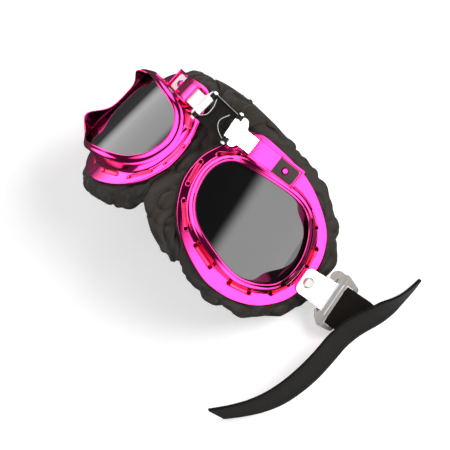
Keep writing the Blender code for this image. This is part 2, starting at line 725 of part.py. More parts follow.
class Bridge:
    """The folding nose bridge."""

    def __init__(self, shop, materials):
        self.shop = shop
        self.materials = materials

    @staticmethod
    def pin_x(y):
        """Return the half width between the pins' axes at a height on the link."""
        return PIN_SPACING / 2 - y * math.sin(LINK_TAPER)

    def link(self, parent):
        """Model the link: a tapered sheet with a round bite and two knuckles at each pin."""
        top, base = plate_levels()
        arm = BARREL_LENGTH / 2 + GAP
        half = arm + KNUCKLE_LENGTH
        round_bite = arm + STEP_BACK
        short = PIN_DIAMETER / 4
        bite = []
        for turn in np.radians(np.linspace(5, 175, 14)):
            y = -round_bite * math.cos(turn)
            bite.append((self.pin_x(y) - round_bite * math.sin(turn) - short, y))
        right = [(self.pin_x(-half) - short, -half)] + bite + [(self.pin_x(half) - short, half)]
        left = [(-x, y) for x, y in reversed(right)]
        mesh = sheet_mesh([right + left], SHEET, (top + base) / 2)
        obj = make_object("bridge_link", mesh, parent, self.materials["lacquer"], self.shop.parts)
        bead_y = half - LINK_BEAD_DIAMETER / 2
        corner = self.pin_x(half)
        bead = rod_mesh(LINK_BEAD_DIAMETER, (-corner, bead_y, top), (corner, bead_y, top), 10)
        self.shop.join(obj, bead, "top_bead")
        for side in (-1.0, 1.0):
            for low, high in ((STEP_BACK - half, OVERRUN - arm), (arm - OVERRUN, half - STEP_BACK)):
                ends = [Vector((side * self.pin_x(y), y, 0.0)) for y in (low, high)]
                self.shop.join(obj, rod_mesh(KNUCKLE_DIAMETER, ends[0], ends[1]), "knuckle")
            ends = [Vector((side * self.pin_x(y), y, 0.0)) for y in (-half - OVERRUN, half + OVERRUN)]
            bore = rod_mesh(PIN_DIAMETER + 2 * PIN_CLEARANCE, ends[0], ends[1])
            self.shop.cut(obj, bore, "pin_bore")
            swing = [Vector((side * self.pin_x(y), y, 0.0)) for y in (-arm, arm)]
            room = rod_mesh(KNUCKLE_DIAMETER + 2 * GAP, swing[0], swing[1])
            self.shop.cut(obj, room, "barrel_room")
        self.shop.settle(obj)
        return obj

    def pin(self, parent):
        """Model a hinge pin, turned with a tapered head at both ends, in the hinge's frame."""
        half = BARREL_LENGTH / 2 + 2 * GAP + KNUCKLE_LENGTH
        tip = half + PIN_HEAD_LENGTH
        head, shank = PIN_HEAD_DIAMETER / 2, PIN_DIAMETER / 2
        end = head * 0.6
        profile = [(-tip, end), (-half, head), (-half, shank), (half, shank), (half, head), (tip, end)]
        turns = np.linspace(0.0, 2 * math.pi, PIN_SIDES, endpoint=False)
        rings = [[(radius * math.sin(t), y, radius * math.cos(t)) for t in turns] for y, radius in profile]
        mesh = tube_mesh(rings)
        return make_object("hinge_pin_right", mesh, parent, self.materials["chrome"], self.shop.parts)

    def nose_pad(self, parent):
        """Model the cushion that joins the two padding rings under the link."""
        rings = []
        for along, share in NOSE_PAD_SHARES:
            y = NOSE_PAD_END - NOSE_PAD_LENGTH * (1.0 - along)
            half = NOSE_PAD_LENGTH * share
            thick = NOSE_PAD_THICKNESS * (0.5 + 0.5 * math.sin(math.pi * along) ** 0.5) / 2
            turns = np.linspace(0.0, 2 * math.pi, 14, endpoint=False)
            rings.append([(half * math.cos(t), y, NOSE_PAD_LEVEL + thick * math.sin(t)) for t in turns])
        return make_object("nose_pad", tube_mesh(rings), parent, self.materials["padding"], self.shop.parts)

    def plate(self, parent):
        """Model a bridge plate: rolled barrel, wide shoulders and a long tongue."""
        top, base = plate_levels()
        barrel = BARREL_LENGTH / 2
        tab = barrel - STEP_BACK
        half = barrel + GAP + KNUCKLE_LENGTH
        step = KNUCKLE_DIAMETER / 2 + GAP
        tip = SHOULDER_FILLET
        turn = Matrix.Rotation(TONGUE_TILT, 2)
        reach = TONGUE_WIDTH / 2

        def tongue(u, v, radius):
            x, y = turn @ Vector((u, v + TONGUE_SHIFT))
            return (x, y, radius)

        corners = [
            (0.0, -tab, 0.0), (step, -tab, 0.0), (step, -half, tip / 3), (SHOULDER_LENGTH, -half, tip),
            tongue(SHOULDER_LENGTH + tip, -reach, tip / 2), tongue(TONGUE_LENGTH, -reach, TONGUE_CORNER),
            tongue(TONGUE_LENGTH, reach, TONGUE_CORNER), tongue(SHOULDER_LENGTH + tip, reach, tip / 2),
            (SHOULDER_LENGTH, half, tip), (step, half, tip / 3), (step, tab, 0.0), (0.0, tab, 0.0),
        ]
        rivet = tongue(STOP_RIVET_U, 0.0, 0.0)[:2]
        hole = arc(rivet, STOP_RIVET_SHANK / 2 + GAP, 0, 330, 11)
        mesh = sheet_mesh([rounded_outline(corners), hole], SHEET, (top + base) / 2)
        obj = make_object("bridge_plate_right", mesh, parent, self.materials["chrome"], self.shop.parts)
        self.shop.join(obj, rod_mesh(KNUCKLE_DIAMETER, (0, -barrel, 0), (0, barrel, 0)), "barrel")
        bore = rod_mesh(PIN_DIAMETER + 2 * PIN_CLEARANCE, (0, -barrel - OVERRUN, 0), (0, barrel + OVERRUN, 0))
        self.shop.cut(obj, bore, "pin_bore")
        self.shop.settle(obj)
        shank = rod_mesh(STOP_RIVET_SHANK, (*rivet, base), (*rivet, top + GAP * 2), 12)
        stop = make_object("stop_rivet_right", shank, parent, self.materials["pink"], self.shop.parts)
        head = rod_mesh(STOP_RIVET_DIAMETER, (*rivet, top + GAP), (*rivet, top + GAP + STOP_RIVET_RISE), 16,
                        STOP_RIVET_DIAMETER * 0.62)
        self.shop.join(stop, head, "stop_head")
        self.shop.settle(stop)
        return [obj, stop]


class StrapHardware:
    """The bracket on the flange, its rivet and the strap's buckle."""

    def __init__(self, shop, materials):
        self.shop = shop
        self.materials = materials

    @staticmethod
    def tail_diameter():
        """Return the diameter of the rivet's tail behind the flange."""
        return RIVET_HEAD_DIAMETER * 0.8

    @staticmethod
    def tail_length():
        """Return how far the rivet's tail reaches behind the flange."""
        return SHEET + GAP

    @staticmethod
    def level():
        """Return the height of the bracket's middle above the flange's face."""
        return GAP + SHEET / 2

    @staticmethod
    def rod_place():
        """Return where the buckle's rod sits in the bracket's frame."""
        height = GAP + CURL_DIAMETER / 2 - SHEET
        return Vector((BRACKET_LENGTH, 0.0, height))

    def bracket(self, parent):
        """Model the bracket: a plate with round inner corners and a curled outer end."""
        outline = rounded_outline([
            (-BRACKET_INNER, -BRACKET_INNER_WIDTH / 2, BRACKET_CORNER),
            (BRACKET_LENGTH, -BRACKET_OUTER_WIDTH / 2, 0.0),
            (BRACKET_LENGTH, BRACKET_OUTER_WIDTH / 2, 0.0),
            (-BRACKET_INNER, BRACKET_INNER_WIDTH / 2, BRACKET_CORNER),
        ])
        hole = arc((0.0, 0.0), RIVET_SHANK_DIAMETER / 2 + GAP, 0, 345, 23)
        mesh = sheet_mesh([outline, hole], SHEET, self.level())
        obj = make_object("strap_bracket_right", mesh, parent, self.materials["chrome"], self.shop.parts)
        rod = self.rod_place()
        reach = Vector((0.0, BRACKET_OUTER_WIDTH / 2, 0.0))
        self.shop.join(obj, rod_mesh(CURL_DIAMETER, rod - reach, rod + reach), "curl")
        past = reach + Vector((0.0, OVERRUN, 0.0))
        bore = BUCKLE_ROD_DIAMETER + 2 * PIN_CLEARANCE
        self.shop.cut(obj, rod_mesh(bore, rod - past, rod + past), "rod_bore")
        self.shop.settle(obj)
        return obj

    def rivet(self, parent):
        """Model the bracket's rivet: domed head, shank through bracket and flange, flat tail."""
        top = 2 * GAP + SHEET
        tail = -FLANGE_THICKNESS - GAP
        shank = rod_mesh(RIVET_SHANK_DIAMETER, (0, 0, tail - SHEET / 2), (0, 0, top + SHEET / 2), 16)
        obj = make_object("bracket_rivet_right", shank, parent, self.materials["chrome"], self.shop.parts)
        head = rod_mesh(RIVET_HEAD_DIAMETER, (0, 0, top), (0, 0, top + RIVET_HEAD_RISE), 24,
                        RIVET_HEAD_DIAMETER * 0.72)
        foot = rod_mesh(self.tail_diameter(), (0, 0, tail - SHEET), (0, 0, tail), 16)
        self.shop.join(obj, head, "rivet_head")
        self.shop.join(obj, foot, "rivet_tail")
        self.shop.settle(obj)
        return obj

    def buckle(self, parent):
        """Model the buckle in its rod's frame: ear, hook, slotted body and the strap's outer bar."""
        half = BUCKLE_LENGTH / 2
        start, body, slot_end, opening, bar, end = self.buckle_steps()
        cheek = BRACKET_OUTER_WIDTH / 2 + GAP
        ear = Vector((0.0, cheek + EAR_RADIUS * 0.45, 0.0))
        wide = STRAP_WIDTH / 2 + GAP
        low, high = LOOP_SHIFT - wide, LOOP_SHIFT + wide
        outline = rounded_outline([
            (start, -cheek, 0.0), (start - HOOK_REACH, -cheek - HOOK_WIDTH / 3, 0.0),
            (start - HOOK_REACH / 2, -half + HOOK_WIDTH / 4, HOOK_WIDTH / 4),
            (body, low - HOOK_WIDTH, HOOK_WIDTH / 2), (end, low - SIDE_BAR, SIDE_BAR),
            (end, high + SIDE_BAR, SIDE_BAR), (body, half + HOOK_WIDTH / 2, HOOK_WIDTH / 2),
            (0.0, ear.y + EAR_RADIUS * 0.8, 0.0), (0.0, cheek, 0.0), (start, cheek, 0.0),
        ])
        slim = BUCKLE_SLOT_LENGTH / 2
        slot = [(body, -slim), (slot_end, -slim), (slot_end, slim), (body, slim)]
        loop = [(opening, low), (bar, low), (bar, high), (opening, high)]
        mesh = sheet_mesh([outline, slot, loop], BUCKLE_THICKNESS, 0.0)
        obj = make_object("buckle_right", mesh, parent, self.materials["satin"], self.shop.parts)
        ends = [Vector((0.0, y, 0.0)) for y in (-cheek - HOOK_WIDTH / 2, cheek + EAR_RADIUS / 2)]
        rod = rod_mesh(BUCKLE_ROD_DIAMETER, ends[0], ends[1], 12)
        rise = Vector((0.0, 0.0, BUCKLE_THICKNESS / 2 - STEP_BACK / 4))
        disc = rod_mesh(EAR_RADIUS * 2, ear - rise, ear + rise, 20)
        self.shop.join(obj, disc, "buckle_ear")
        room = box_mesh((-2 * EAR_RADIUS, -cheek, -EAR_RADIUS), (start, cheek, EAR_RADIUS))
        self.shop.cut(obj, room, "curl_room")
        self.shop.join(obj, rod, "buckle_rod")
        self.shop.settle(obj)
        return obj

    @staticmethod
    def buckle_steps():
        """Return where the buckle's body, slot, strap opening, outer bar and end lie from its rod."""
        start = CURL_DIAMETER / 2 + GAP
        slot_end = start + BUCKLE_BODY - BUCKLE_STRIP
        opening = start + BUCKLE_BODY
        bar = opening + STRAP_SLOT
        return start, slot_end - BUCKLE_SLOT, slot_end, opening, bar, bar + OUTER_BAR


class Strap:
    """Webbing at one buckle: a piece folded round the bar and, on the right, the band it is sewn to."""

    def __init__(self, shop, material, table, buckle, sign):
        self.shop = shop
        self.material = material
        self.table = table
        self.buckle = buckle
        place = buckle.matrix_world
        self.across = (place.to_3x3() @ Vector((0.0, 1.0, 0.0))).normalized()
        self.fold = [place @ Vector((point.x * sign, point.y, point.z)) for point in self.loop()]
        self.middle = sum(self.fold, Vector()) / len(self.fold)

    @staticmethod
    def loop():
        """Return the fold's middle line in the buckle's frame, from its upper side to its lower."""
        bar, end = StrapHardware.buckle_steps()[-2:]
        reach = BUCKLE_THICKNESS / 2 + STRAP_PLAY + STRAP_THICKNESS / 2
        centre = bar - OUTER_BAR * 0.2
        past = end + STRAP_THICKNESS
        points = [Vector((past, LOOP_SHIFT, reach)), Vector((bar + STRAP_PLAY, LOOP_SHIFT, reach))]
        for angle in np.linspace(math.pi / 2, 3 * math.pi / 2, LOOP_STEPS + 1):
            points.append(Vector((centre + reach * math.cos(angle), LOOP_SHIFT, reach * math.sin(angle))))
        return points + [Vector((bar + STRAP_PLAY, LOOP_SHIFT, -reach)), Vector((past, LOOP_SHIFT, -reach))]

    def spot(self, x, y, height):
        """Return a point by its shares away from the bar and along it, and its height above the table."""
        out = self.across.cross(Vector((0.0, 0.0, 1.0)))
        place = self.middle + (out * x + self.across * y) * STRAP_WIDTH
        place.z = self.table + height
        return place

    @staticmethod
    def ahead(line, index):
        """Return the direction of a middle line at one of its points."""
        return (line[min(index + 1, len(line) - 1)] - line[max(index - 1, 0)]).normalized()

    def ribbon(self, name, line, widths):
        """Model flat webbing along a middle line, with the direction of its width at each point."""
        rings = []
        for index, (point, width) in enumerate(zip(line, widths)):
            face = width.cross(self.ahead(line, index)).normalized() * STRAP_THICKNESS / 2
            half = width * STRAP_WIDTH / 2
            low, high = point - face, point + face
            rings.append([low - half, low + half, high + half, high - half])
        mesh = tube_mesh(rings, True)
        mesh.transform(self.buckle.matrix_world.inverted())
        return make_object(name, mesh, self.buckle, self.material, self.shop.parts)

    def folded(self, name, first, last):
        """Model the piece folded round the bar, its two layers running along the table."""
        base = STRAP_PLAY + STRAP_THICKNESS / 2
        ends = []
        for layer in (first, last):
            ends.append([self.spot(x, y, base + rise * STRAP_WIDTH) for x, y, rise in layer])
        line = ends[0] + self.fold + ends[1]
        widths = [self.across] * len(line)
        for index in list(range(len(first))) + list(range(len(line) - len(last), len(line))):
            flat = self.ahead(line, index).cross(Vector((0.0, 0.0, 1.0))).normalized()
            widths[index] = flat if flat.dot(self.across) > 0.0 else -flat
        return self.ribbon(name, line, widths)

    def standing(self, name, feet):
        """Model the band that stands on its edge and leans from its foot on the table."""
        foot = [self.spot(x, y, STRAP_PLAY) for x, y, _ in feet]
        line, widths = [], []
        for index, (_, _, lean) in enumerate(feet):
            side = self.ahead(foot, index).cross(Vector((0.0, 0.0, 1.0)))
            angle = math.radians(lean)
            width = side * math.cos(angle) + Vector((0.0, 0.0, 1.0)) * math.sin(angle)
            lift = Vector((0.0, 0.0, abs(math.cos(angle)) * STRAP_THICKNESS / 2))
            line.append(foot[index] + lift + width * STRAP_WIDTH / 2)
            widths.append(width)
        return self.ribbon(name, line, widths)


class Side:
    """The axes of one side: hinge, eyecup, bracket pivot and buckle rod."""

    def __init__(self, sign, root, group, swing, slide):
        name = "right" if sign > 0.0 else "left"
        turn = Matrix.Rotation(sign * LINK_TAPER, 4, "Z") @ Matrix.Rotation(sign * FOLD_ANGLE, 4, "Y")
        place = Matrix.Translation((sign * PIN_SPACING / 2, 0.0, 0.0))
        self.hinge = make_empty("bridge_hinge_" + name, root, place @ turn, group)
        along = Vector((math.cos(TONGUE_TILT), math.sin(TONGUE_TILT), 0.0)) * slide
        offset = Vector((-HINGE_X, -HINGE_Y, -HINGE_Z)) + along
        place = Matrix.Translation(self.flip(offset, sign))
        self.cup = make_empty("eyecup_" + name, self.hinge, place, group)
        point = Eyecup.bracket_rivet_point()
        normal = flange_normal(BRACKET_RIVET_X)
        tilt = math.atan2(normal.x, normal.z)
        matrix = Matrix.Translation(self.flip(point, sign)) @ Matrix.Rotation(sign * tilt, 4, "Y")
        self.bracket = make_empty("bracket_pivot_" + name, self.cup, matrix, group)
        rod = self.flip(StrapHardware.rod_place(), sign)
        matrix = Matrix.Translation(rod) @ Matrix.Rotation(-sign * swing, 4, "Y")
        self.buckle = make_empty("buckle_rod_" + name, self.bracket, matrix, group)

    @staticmethod
    def flip(vector, sign):
        """Return a vector mirrored for the left side."""
        return Vector((vector.x * sign, vector.y, vector.z))


def main():
    """Build the goggles."""
    clear_scene()
    shop = Workshop(make_collection("dog_goggles"), make_collection("cutters"))
    materials = {
        "pink": make_material("metallised_pink", (0.83, 0.03, 0.30), 0.12, 1.0),
        "smoke": make_material("smoked_lens", (0.012, 0.013, 0.012), 0.06, 0.0),
        "rubber": make_material("gasket_rubber", (0.015, 0.015, 0.015), 0.7, 0.0),
        "black": make_material("retainer_plastic", (0.02, 0.02, 0.02), 0.45, 0.0),
        "chrome": make_material("chromed_steel", (0.92, 0.92, 0.92), 0.08, 1.0),
        "lacquer": make_material("black_lacquer", (0.02, 0.018, 0.016), 0.2, 0.0),
        "satin": make_material("satin_steel", (0.42, 0.40, 0.38), 0.4, 1.0),
        "padding": make_material("padded_cloth", (0.025, 0.021, 0.018), 0.6, 0.0),
        "webbing": make_material("elastic_webbing", (0.012, 0.011, 0.010), 0.85, 0.0),
    }
    group = shop.parts
    root = make_empty("goggles", None, Matrix.Translation((0.0, HINGE_Y, 0.0)), group)
    bridge = Bridge(shop, materials)
    hardware = StrapHardware(shop, materials)
    cup = Eyecup(shop, materials)
    bridge.link(root)
    bridge.nose_pad(root)
    right = Side(1.0, root, group, BUCKLE_SWING_RIGHT, 0.0)
    left = Side(-1.0, root, group, BUCKLE_SWING_LEFT, LEFT_SLIDE)
    made = {
        "hinge": [bridge.pin(right.hinge)] + bridge.plate(right.hinge),
        "cup": [cup.frame(right.cup)] + cup.lens_stack(right.cup),
        "bracket": [hardware.bracket(right.bracket)],
        "rivet": [hardware.rivet(right.bracket)],
        "buckle": [hardware.buckle(right.buckle)],
    }
    homes = {"hinge": left.hinge, "cup": left.cup, "bracket": left.bracket, "rivet": left.bracket,
             "buckle": left.buckle}
    for key, objects in made.items():
        for obj in objects:
            shop.mirrored(obj, obj.name.replace("_right", "_left"), homes[key])
    pad_right = cup.pad("pad_right", right.cup, 0.0)
    source = cup.pad("pad_left_source", right.cup, TUCK_DENT)
    pad_left = shop.mirrored(source, "pad_left", left.cup)
    bpy.data.objects.remove(source)
    bpy.context.view_layer.update()
    table = lowest([pad_right]) + PAD_FLAT
    for pad in (pad_right, pad_left):
        shop.flatten(pad, table)
    strap = Strap(shop, materials["webbing"], table, right.buckle, 1.0)
    tucked = Strap(shop, materials["webbing"], table, left.buckle, -1.0)
    straps = [
        strap.standing("strap_right", BAND_FOOT_SHARES),
        strap.folded("strap_loop_right", LOOP_UPPER_SHARES, LOOP_LOWER_SHARES),
        tucked.folded("strap_left", TUCKED_LOWER_SHARES, TUCKED_UPPER_SHARES),
    ]
    bpy.context.view_layer.update()
    solids = [obj for obj in group.objects if obj.type == "MESH" and obj not in straps]
    corners = [obj.matrix_world @ vertex.co for obj in solids for vertex in obj.data.vertices]
    middle = [(max(c[axis] for c in corners) + min(c[axis] for c in corners)) / 2 for axis in (0, 1)]
    root.location -= Vector((*middle, table))


if __name__ == "__main__":
    main()
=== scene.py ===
"""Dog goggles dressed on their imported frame.

Two metallised eyecups with smoked lenses, a lacquered nose link, gathered padding and elastic webbing.
Eyecup pieces are shaped in the eyecup's own axes: x to the temple, y to the brow, z out of the lens.
"""

import json
import logging
import math
from dataclasses import dataclass, replace
from enum import Enum

import bmesh
import bpy
import numpy as np
from mathutils import Matrix, Vector, noise


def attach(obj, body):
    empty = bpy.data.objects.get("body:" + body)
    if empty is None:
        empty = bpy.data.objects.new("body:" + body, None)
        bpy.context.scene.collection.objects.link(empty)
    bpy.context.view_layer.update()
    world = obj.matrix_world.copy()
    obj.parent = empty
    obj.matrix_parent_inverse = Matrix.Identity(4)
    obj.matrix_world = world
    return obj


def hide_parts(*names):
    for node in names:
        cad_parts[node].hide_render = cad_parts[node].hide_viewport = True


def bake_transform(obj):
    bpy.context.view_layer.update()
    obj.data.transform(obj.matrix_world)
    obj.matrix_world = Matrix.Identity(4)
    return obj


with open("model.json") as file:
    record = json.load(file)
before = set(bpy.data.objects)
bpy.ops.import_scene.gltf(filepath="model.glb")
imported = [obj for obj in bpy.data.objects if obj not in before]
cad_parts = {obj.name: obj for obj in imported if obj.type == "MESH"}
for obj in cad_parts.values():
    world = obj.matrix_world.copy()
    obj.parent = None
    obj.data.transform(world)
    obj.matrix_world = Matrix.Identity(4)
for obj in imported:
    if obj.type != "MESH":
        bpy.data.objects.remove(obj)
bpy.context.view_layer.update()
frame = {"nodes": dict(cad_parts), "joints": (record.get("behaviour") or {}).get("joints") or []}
LOG = logging.getLogger("goggles")
MM = 0.001
TABLE_GAP = 0.02 * MM
FINE_STEPS = 8
PALE = (1.0, 1.0, 1.0, 1.0)


class Side(Enum):
    """The two halves of the goggles, by the way that x runs outward."""

    RIGHT = 1.0
    LEFT = -1.0

    @property
    def label(self) -> str:
        """Return the side's name as the frame writes it."""
        return self.name.lower()


class NodeTree:
    """A short way to write a material's or a world's nodes."""

    def __init__(self, tree: bpy.types.NodeTree) -> None:
        """Keep the node tree."""
        self.tree = tree

    def add(self, kind: str, settings: dict | None = None, **inputs: object) -> bpy.types.Node:
        """Add a node.

        Args:
            kind: The node's type, without its prefix.
            settings: Properties of the node.
            inputs: Values or output sockets by input name, with _ for a space.

        Returns:
            The node.
        """
        node = self.tree.nodes.new("ShaderNode" + kind)
        for key, value in (settings or {}).items():
            setattr(node, key, value)
        for key, value in inputs.items():
            socket = node.inputs[int(key[1:])] if key[0] == "i" and key[1:].isdigit() else \
                node.inputs[key.replace("_", " ")]
            self.feed(socket, value)
        return node

    def feed(self, socket: bpy.types.NodeSocket, value: object) -> None:
        """Link an output to a socket, or set the socket's value.

        Args:
            socket: The input.
            value: An output socket, or a plain value.
        """
        if isinstance(value, bpy.types.NodeSocket):
            self.tree.links.new(value, socket)
        else:
            socket.default_value = value

    def math(self, operation: str, *values: object) -> bpy.types.NodeSocket:
        """Return the result of a Math node.

        Args:
            operation: The node's operation.
            values: Its inputs in order, sockets or numbers.

        Returns:
            The result's socket.
        """
        node = self.add("Math", {"operation": operation})
        for index, value in enumerate(values):
            self.feed(node.inputs[index], value)
        return node.outputs[0]

    def noise(self, vector: bpy.types.NodeSocket, scale: float,
              detail: float = 2.0) -> bpy.types.NodeSocket:
        """Return a noise value."""
        return self.add("TexNoise", Vector=vector, Scale=scale, Detail=detail).outputs["Fac"]

    def span(self, value: object, low: float, high: float, to_low: float,
             to_high: float) -> bpy.types.NodeSocket:
        """Return a value mapped smoothly from one span to another.

        Args:
            value: The value, a socket or a number.
            low: The value that gives to_low.
            high: The value that gives to_high.
            to_low: The result at low and beyond it.
            to_high: The result at high and beyond it.

        Returns:
            The result's socket.
        """
        node = self.add("MapRange", {"interpolation_type": "SMOOTHSTEP"}, i0=value, i1=low, i2=high,
                        i3=to_low, i4=to_high)
        return node.outputs[0]

    def blend(self, factor: object, first: tuple, second: tuple) -> bpy.types.NodeSocket:
        """Return a colour between two colours.

        Args:
            factor: How much of the second colour shows, a socket or a number.
            first: The colour at 0.
            second: The colour at 1.

        Returns:
            The colour's socket.
        """
        node = self.add("Mix", {"data_type": "RGBA"}, i0=factor, i6=(*first, 1.0), i7=(*second, 1.0))
        return node.outputs[2]

    def towards(self, vector: object, way: np.ndarray) -> bpy.types.NodeSocket:
        """Return how far a vector reaches along a fixed direction."""
        return self.add("VectorMath", {"operation": "DOT_PRODUCT"}, i0=vector, i1=tuple(way)).outputs["Value"]


@dataclass(frozen=True)
class Finish:
    """A surface finish with the detail that the real material shows."""

    name: str
    colour: tuple[float, float, float]
    shade: tuple[float, float, float]
    roughness: float
    metallic: float = 0.0
    grain: float = 900.0
    bump: float = 0.02
    sockets: tuple[tuple[str, float], ...] = ()

    CLOUDS, DETAIL = 8, 4.0
    SPREAD, FINE_SPREAD = (0.3, 0.7), (0.25, 0.75)
    SWING = (0.7, 1.3)
    RELIEF = 0.1 * MM

    def make(self) -> bpy.types.Material:
        """Return the material.

        Returns:
            A new material with the finish's nodes.
        """
        material = bpy.data.materials.new(self.name)
        material.use_nodes = True
        shader = material.node_tree.nodes["Principled BSDF"]
        shader.inputs["Metallic"].default_value = self.metallic
        for socket, value in self.sockets:
            shader.inputs[socket].default_value = value
        self.dress(NodeTree(material.node_tree), shader)
        return material

    def swing(self) -> tuple[float, float]:
        """Return the lowest and the highest roughness."""
        return self.roughness * self.SWING[0], self.roughness * self.SWING[1]

    def dress(self, tree: NodeTree, shader: bpy.types.Node) -> None:
        """Drive colour, roughness and relief with noise on Object coordinates.

        Args:
            tree: The material's nodes.
            shader: Its surface shader.
        """
        place = tree.add("TexCoord").outputs["Object"]
        cloud = tree.noise(place, self.grain / self.CLOUDS)
        share = tree.span(cloud, *self.SPREAD, 0.0, 1.0)
        tree.feed(shader.inputs["Base Color"], tree.blend(share, self.colour, self.shade))
        fine = tree.noise(place, self.grain, self.DETAIL)
        rough = tree.span(fine, *self.FINE_SPREAD, *self.swing())
        tree.feed(shader.inputs["Roughness"], rough)
        relief = tree.add("Bump", Strength=self.bump, Distance=self.RELIEF, Height=fine)
        tree.feed(shader.inputs["Normal"], relief.outputs[0])


@dataclass(frozen=True)
class PlatedFinish(Finish):
    """Metallised plastic: duller in its pressed slots, with painted shade darkening their holes."""

    slot: tuple[float, float, float] = (0.62, 0.03, 0.10)
    slot_roughness: float = 0.34
    # painted shade: the share of the plating's colour that is left deep in a hole
    hole: float = 0.03

    SLOT_FROM, HOLE_FROM = (0.04, 0.14), (0.45, 0.8)

    def dress(self, tree: NodeTree, shader: bpy.types.Node) -> None:
        """Dull the slots and paint shade into the holes by the mesh's sunk attribute.

        Args:
            tree: The material's nodes.
            shader: Its surface shader.
        """
        super().dress(tree, shader)
        sunk = tree.add("Attribute", {"attribute_name": "sunk"}).outputs["Fac"]
        share = tree.span(sunk, *self.SLOT_FROM, 0.0, 1.0)
        # painted shade: deep in the holes the colour is scaled down towards hole
        light = tree.span(sunk, *self.HOLE_FROM, 1.0, self.hole)
        colour = tree.add("VectorMath", {"operation": "SCALE"}, i0=tree.blend(share, self.colour, self.slot),
                          i3=light)
        tree.feed(shader.inputs["Base Color"], colour.outputs[0])
        tree.feed(shader.inputs["Roughness"], tree.span(share, 0.0, 1.0, self.roughness, self.slot_roughness))


@dataclass(frozen=True)
class BrushedFinish(Finish):
    """A brushed or tumbled metal: fine streaks across the part."""

    streak: float = 40.0

    SWING = (0.8, 1.25)

    def dress(self, tree: NodeTree, shader: bpy.types.Node) -> None:
        """Drive colour, roughness and relief with stretched noise.

        Args:
            tree: The material's nodes.
            shader: Its surface shader.
        """
        place = tree.add("TexCoord").outputs["Object"]
        mapping = tree.add("Mapping", Vector=place, Scale=(self.grain, self.grain / self.streak, self.grain))
        streaks = tree.noise(mapping.outputs[0], 1.0, 3.0)
        tree.feed(shader.inputs["Base Color"], tree.blend(streaks, self.colour, self.shade))
        tree.feed(shader.inputs["Roughness"], tree.span(streaks, *self.SPREAD, *self.swing()))
        relief = tree.add("Bump", Strength=self.bump, Distance=self.RELIEF, Height=streaks)
        tree.feed(shader.inputs["Normal"], relief.outputs[0])


@dataclass(frozen=True)
class PaintedReflectionTabFinish(Finish):
    """Chrome whose tab beyond a line across the eyecup is painted dark: a painted reflection of dark
    surroundings.
    """

    line: float = -14.0 * MM
    fade: float = 0.6 * MM
    # painted reflection: the tab's near-black colour stands in for the dark surroundings that the chrome
    # mirrors there
    tab: tuple[float, float, float] = (0.014, 0.011, 0.010)

    def dress(self, tree: NodeTree, shader: bpy.types.Node) -> None:
        """Blend the chrome into the tab's painted dark reflection along the eyecup's length.

        Args:
            tree: The material's nodes.
            shader: Its surface shader.
        """
        cup = Axes.eyecup(Side.RIGHT)
        place = tree.add("TexCoord").outputs["Object"]
        start = float(cup.origin @ cup.x) + self.line
        # mask that paints the dark reflection onto the tab beyond the line
        share = tree.span(tree.towards(place, cup.x), start, start + self.fade, 0.0, 1.0)
        tree.feed(shader.inputs["Base Color"], tree.blend(share, self.colour, self.tab))


@dataclass(frozen=True)
class WovenFinish(Finish):
    """Cloth: crossed threads on Object coordinates, with slubs and a soft sheen."""

    thread: float = 0.35 * MM

    BANDS, DISTORTION = 0.31, 0.6
    SLUBS = 10
    WEAVE_SHARE, SLUB_SHARE = 0.45, 0.6
    SWING = (0.85, 1.1)
    RELIEF = 0.15 * MM

    def dress(self, tree: NodeTree, shader: bpy.types.Node) -> None:
        """Weave two sets of threads, darken the gaps between them with painted shade, and let slubs vary
        their colour.

        Args:
            tree: The material's nodes.
            shader: Its surface shader.
        """
        place = tree.add("TexCoord").outputs["Object"]
        waves = []
        for direction in ("X", "Y", "Z"):
            wave = tree.add("TexWave", {"bands_direction": direction, "wave_type": "BANDS"}, Vector=place,
                            Scale=self.BANDS / self.thread, Distortion=self.DISTORTION, Detail=1.0,
                            Detail_Scale=2.0)
            waves.append(wave.outputs["Fac"])
        weave = tree.math("MULTIPLY", tree.math("MAXIMUM", waves[0], waves[2]), waves[1])
        slub = tree.noise(place, self.grain / self.SLUBS, 3.0)
        uneven = tree.math("MULTIPLY", slub, self.SLUB_SHARE)
        mixed = tree.math("MULTIPLY_ADD", weave, self.WEAVE_SHARE, uneven)
        # painted shade between the threads from the weave; the slubs vary the tone at random
        tree.feed(shader.inputs["Base Color"], tree.blend(mixed, self.shade, self.colour))
        tree.feed(shader.inputs["Roughness"], tree.span(slub, *self.SPREAD, *self.swing()))
        relief = tree.add("Bump", Strength=self.bump, Distance=self.RELIEF, Height=weave)
        tree.feed(shader.inputs["Normal"], relief.outputs[0])


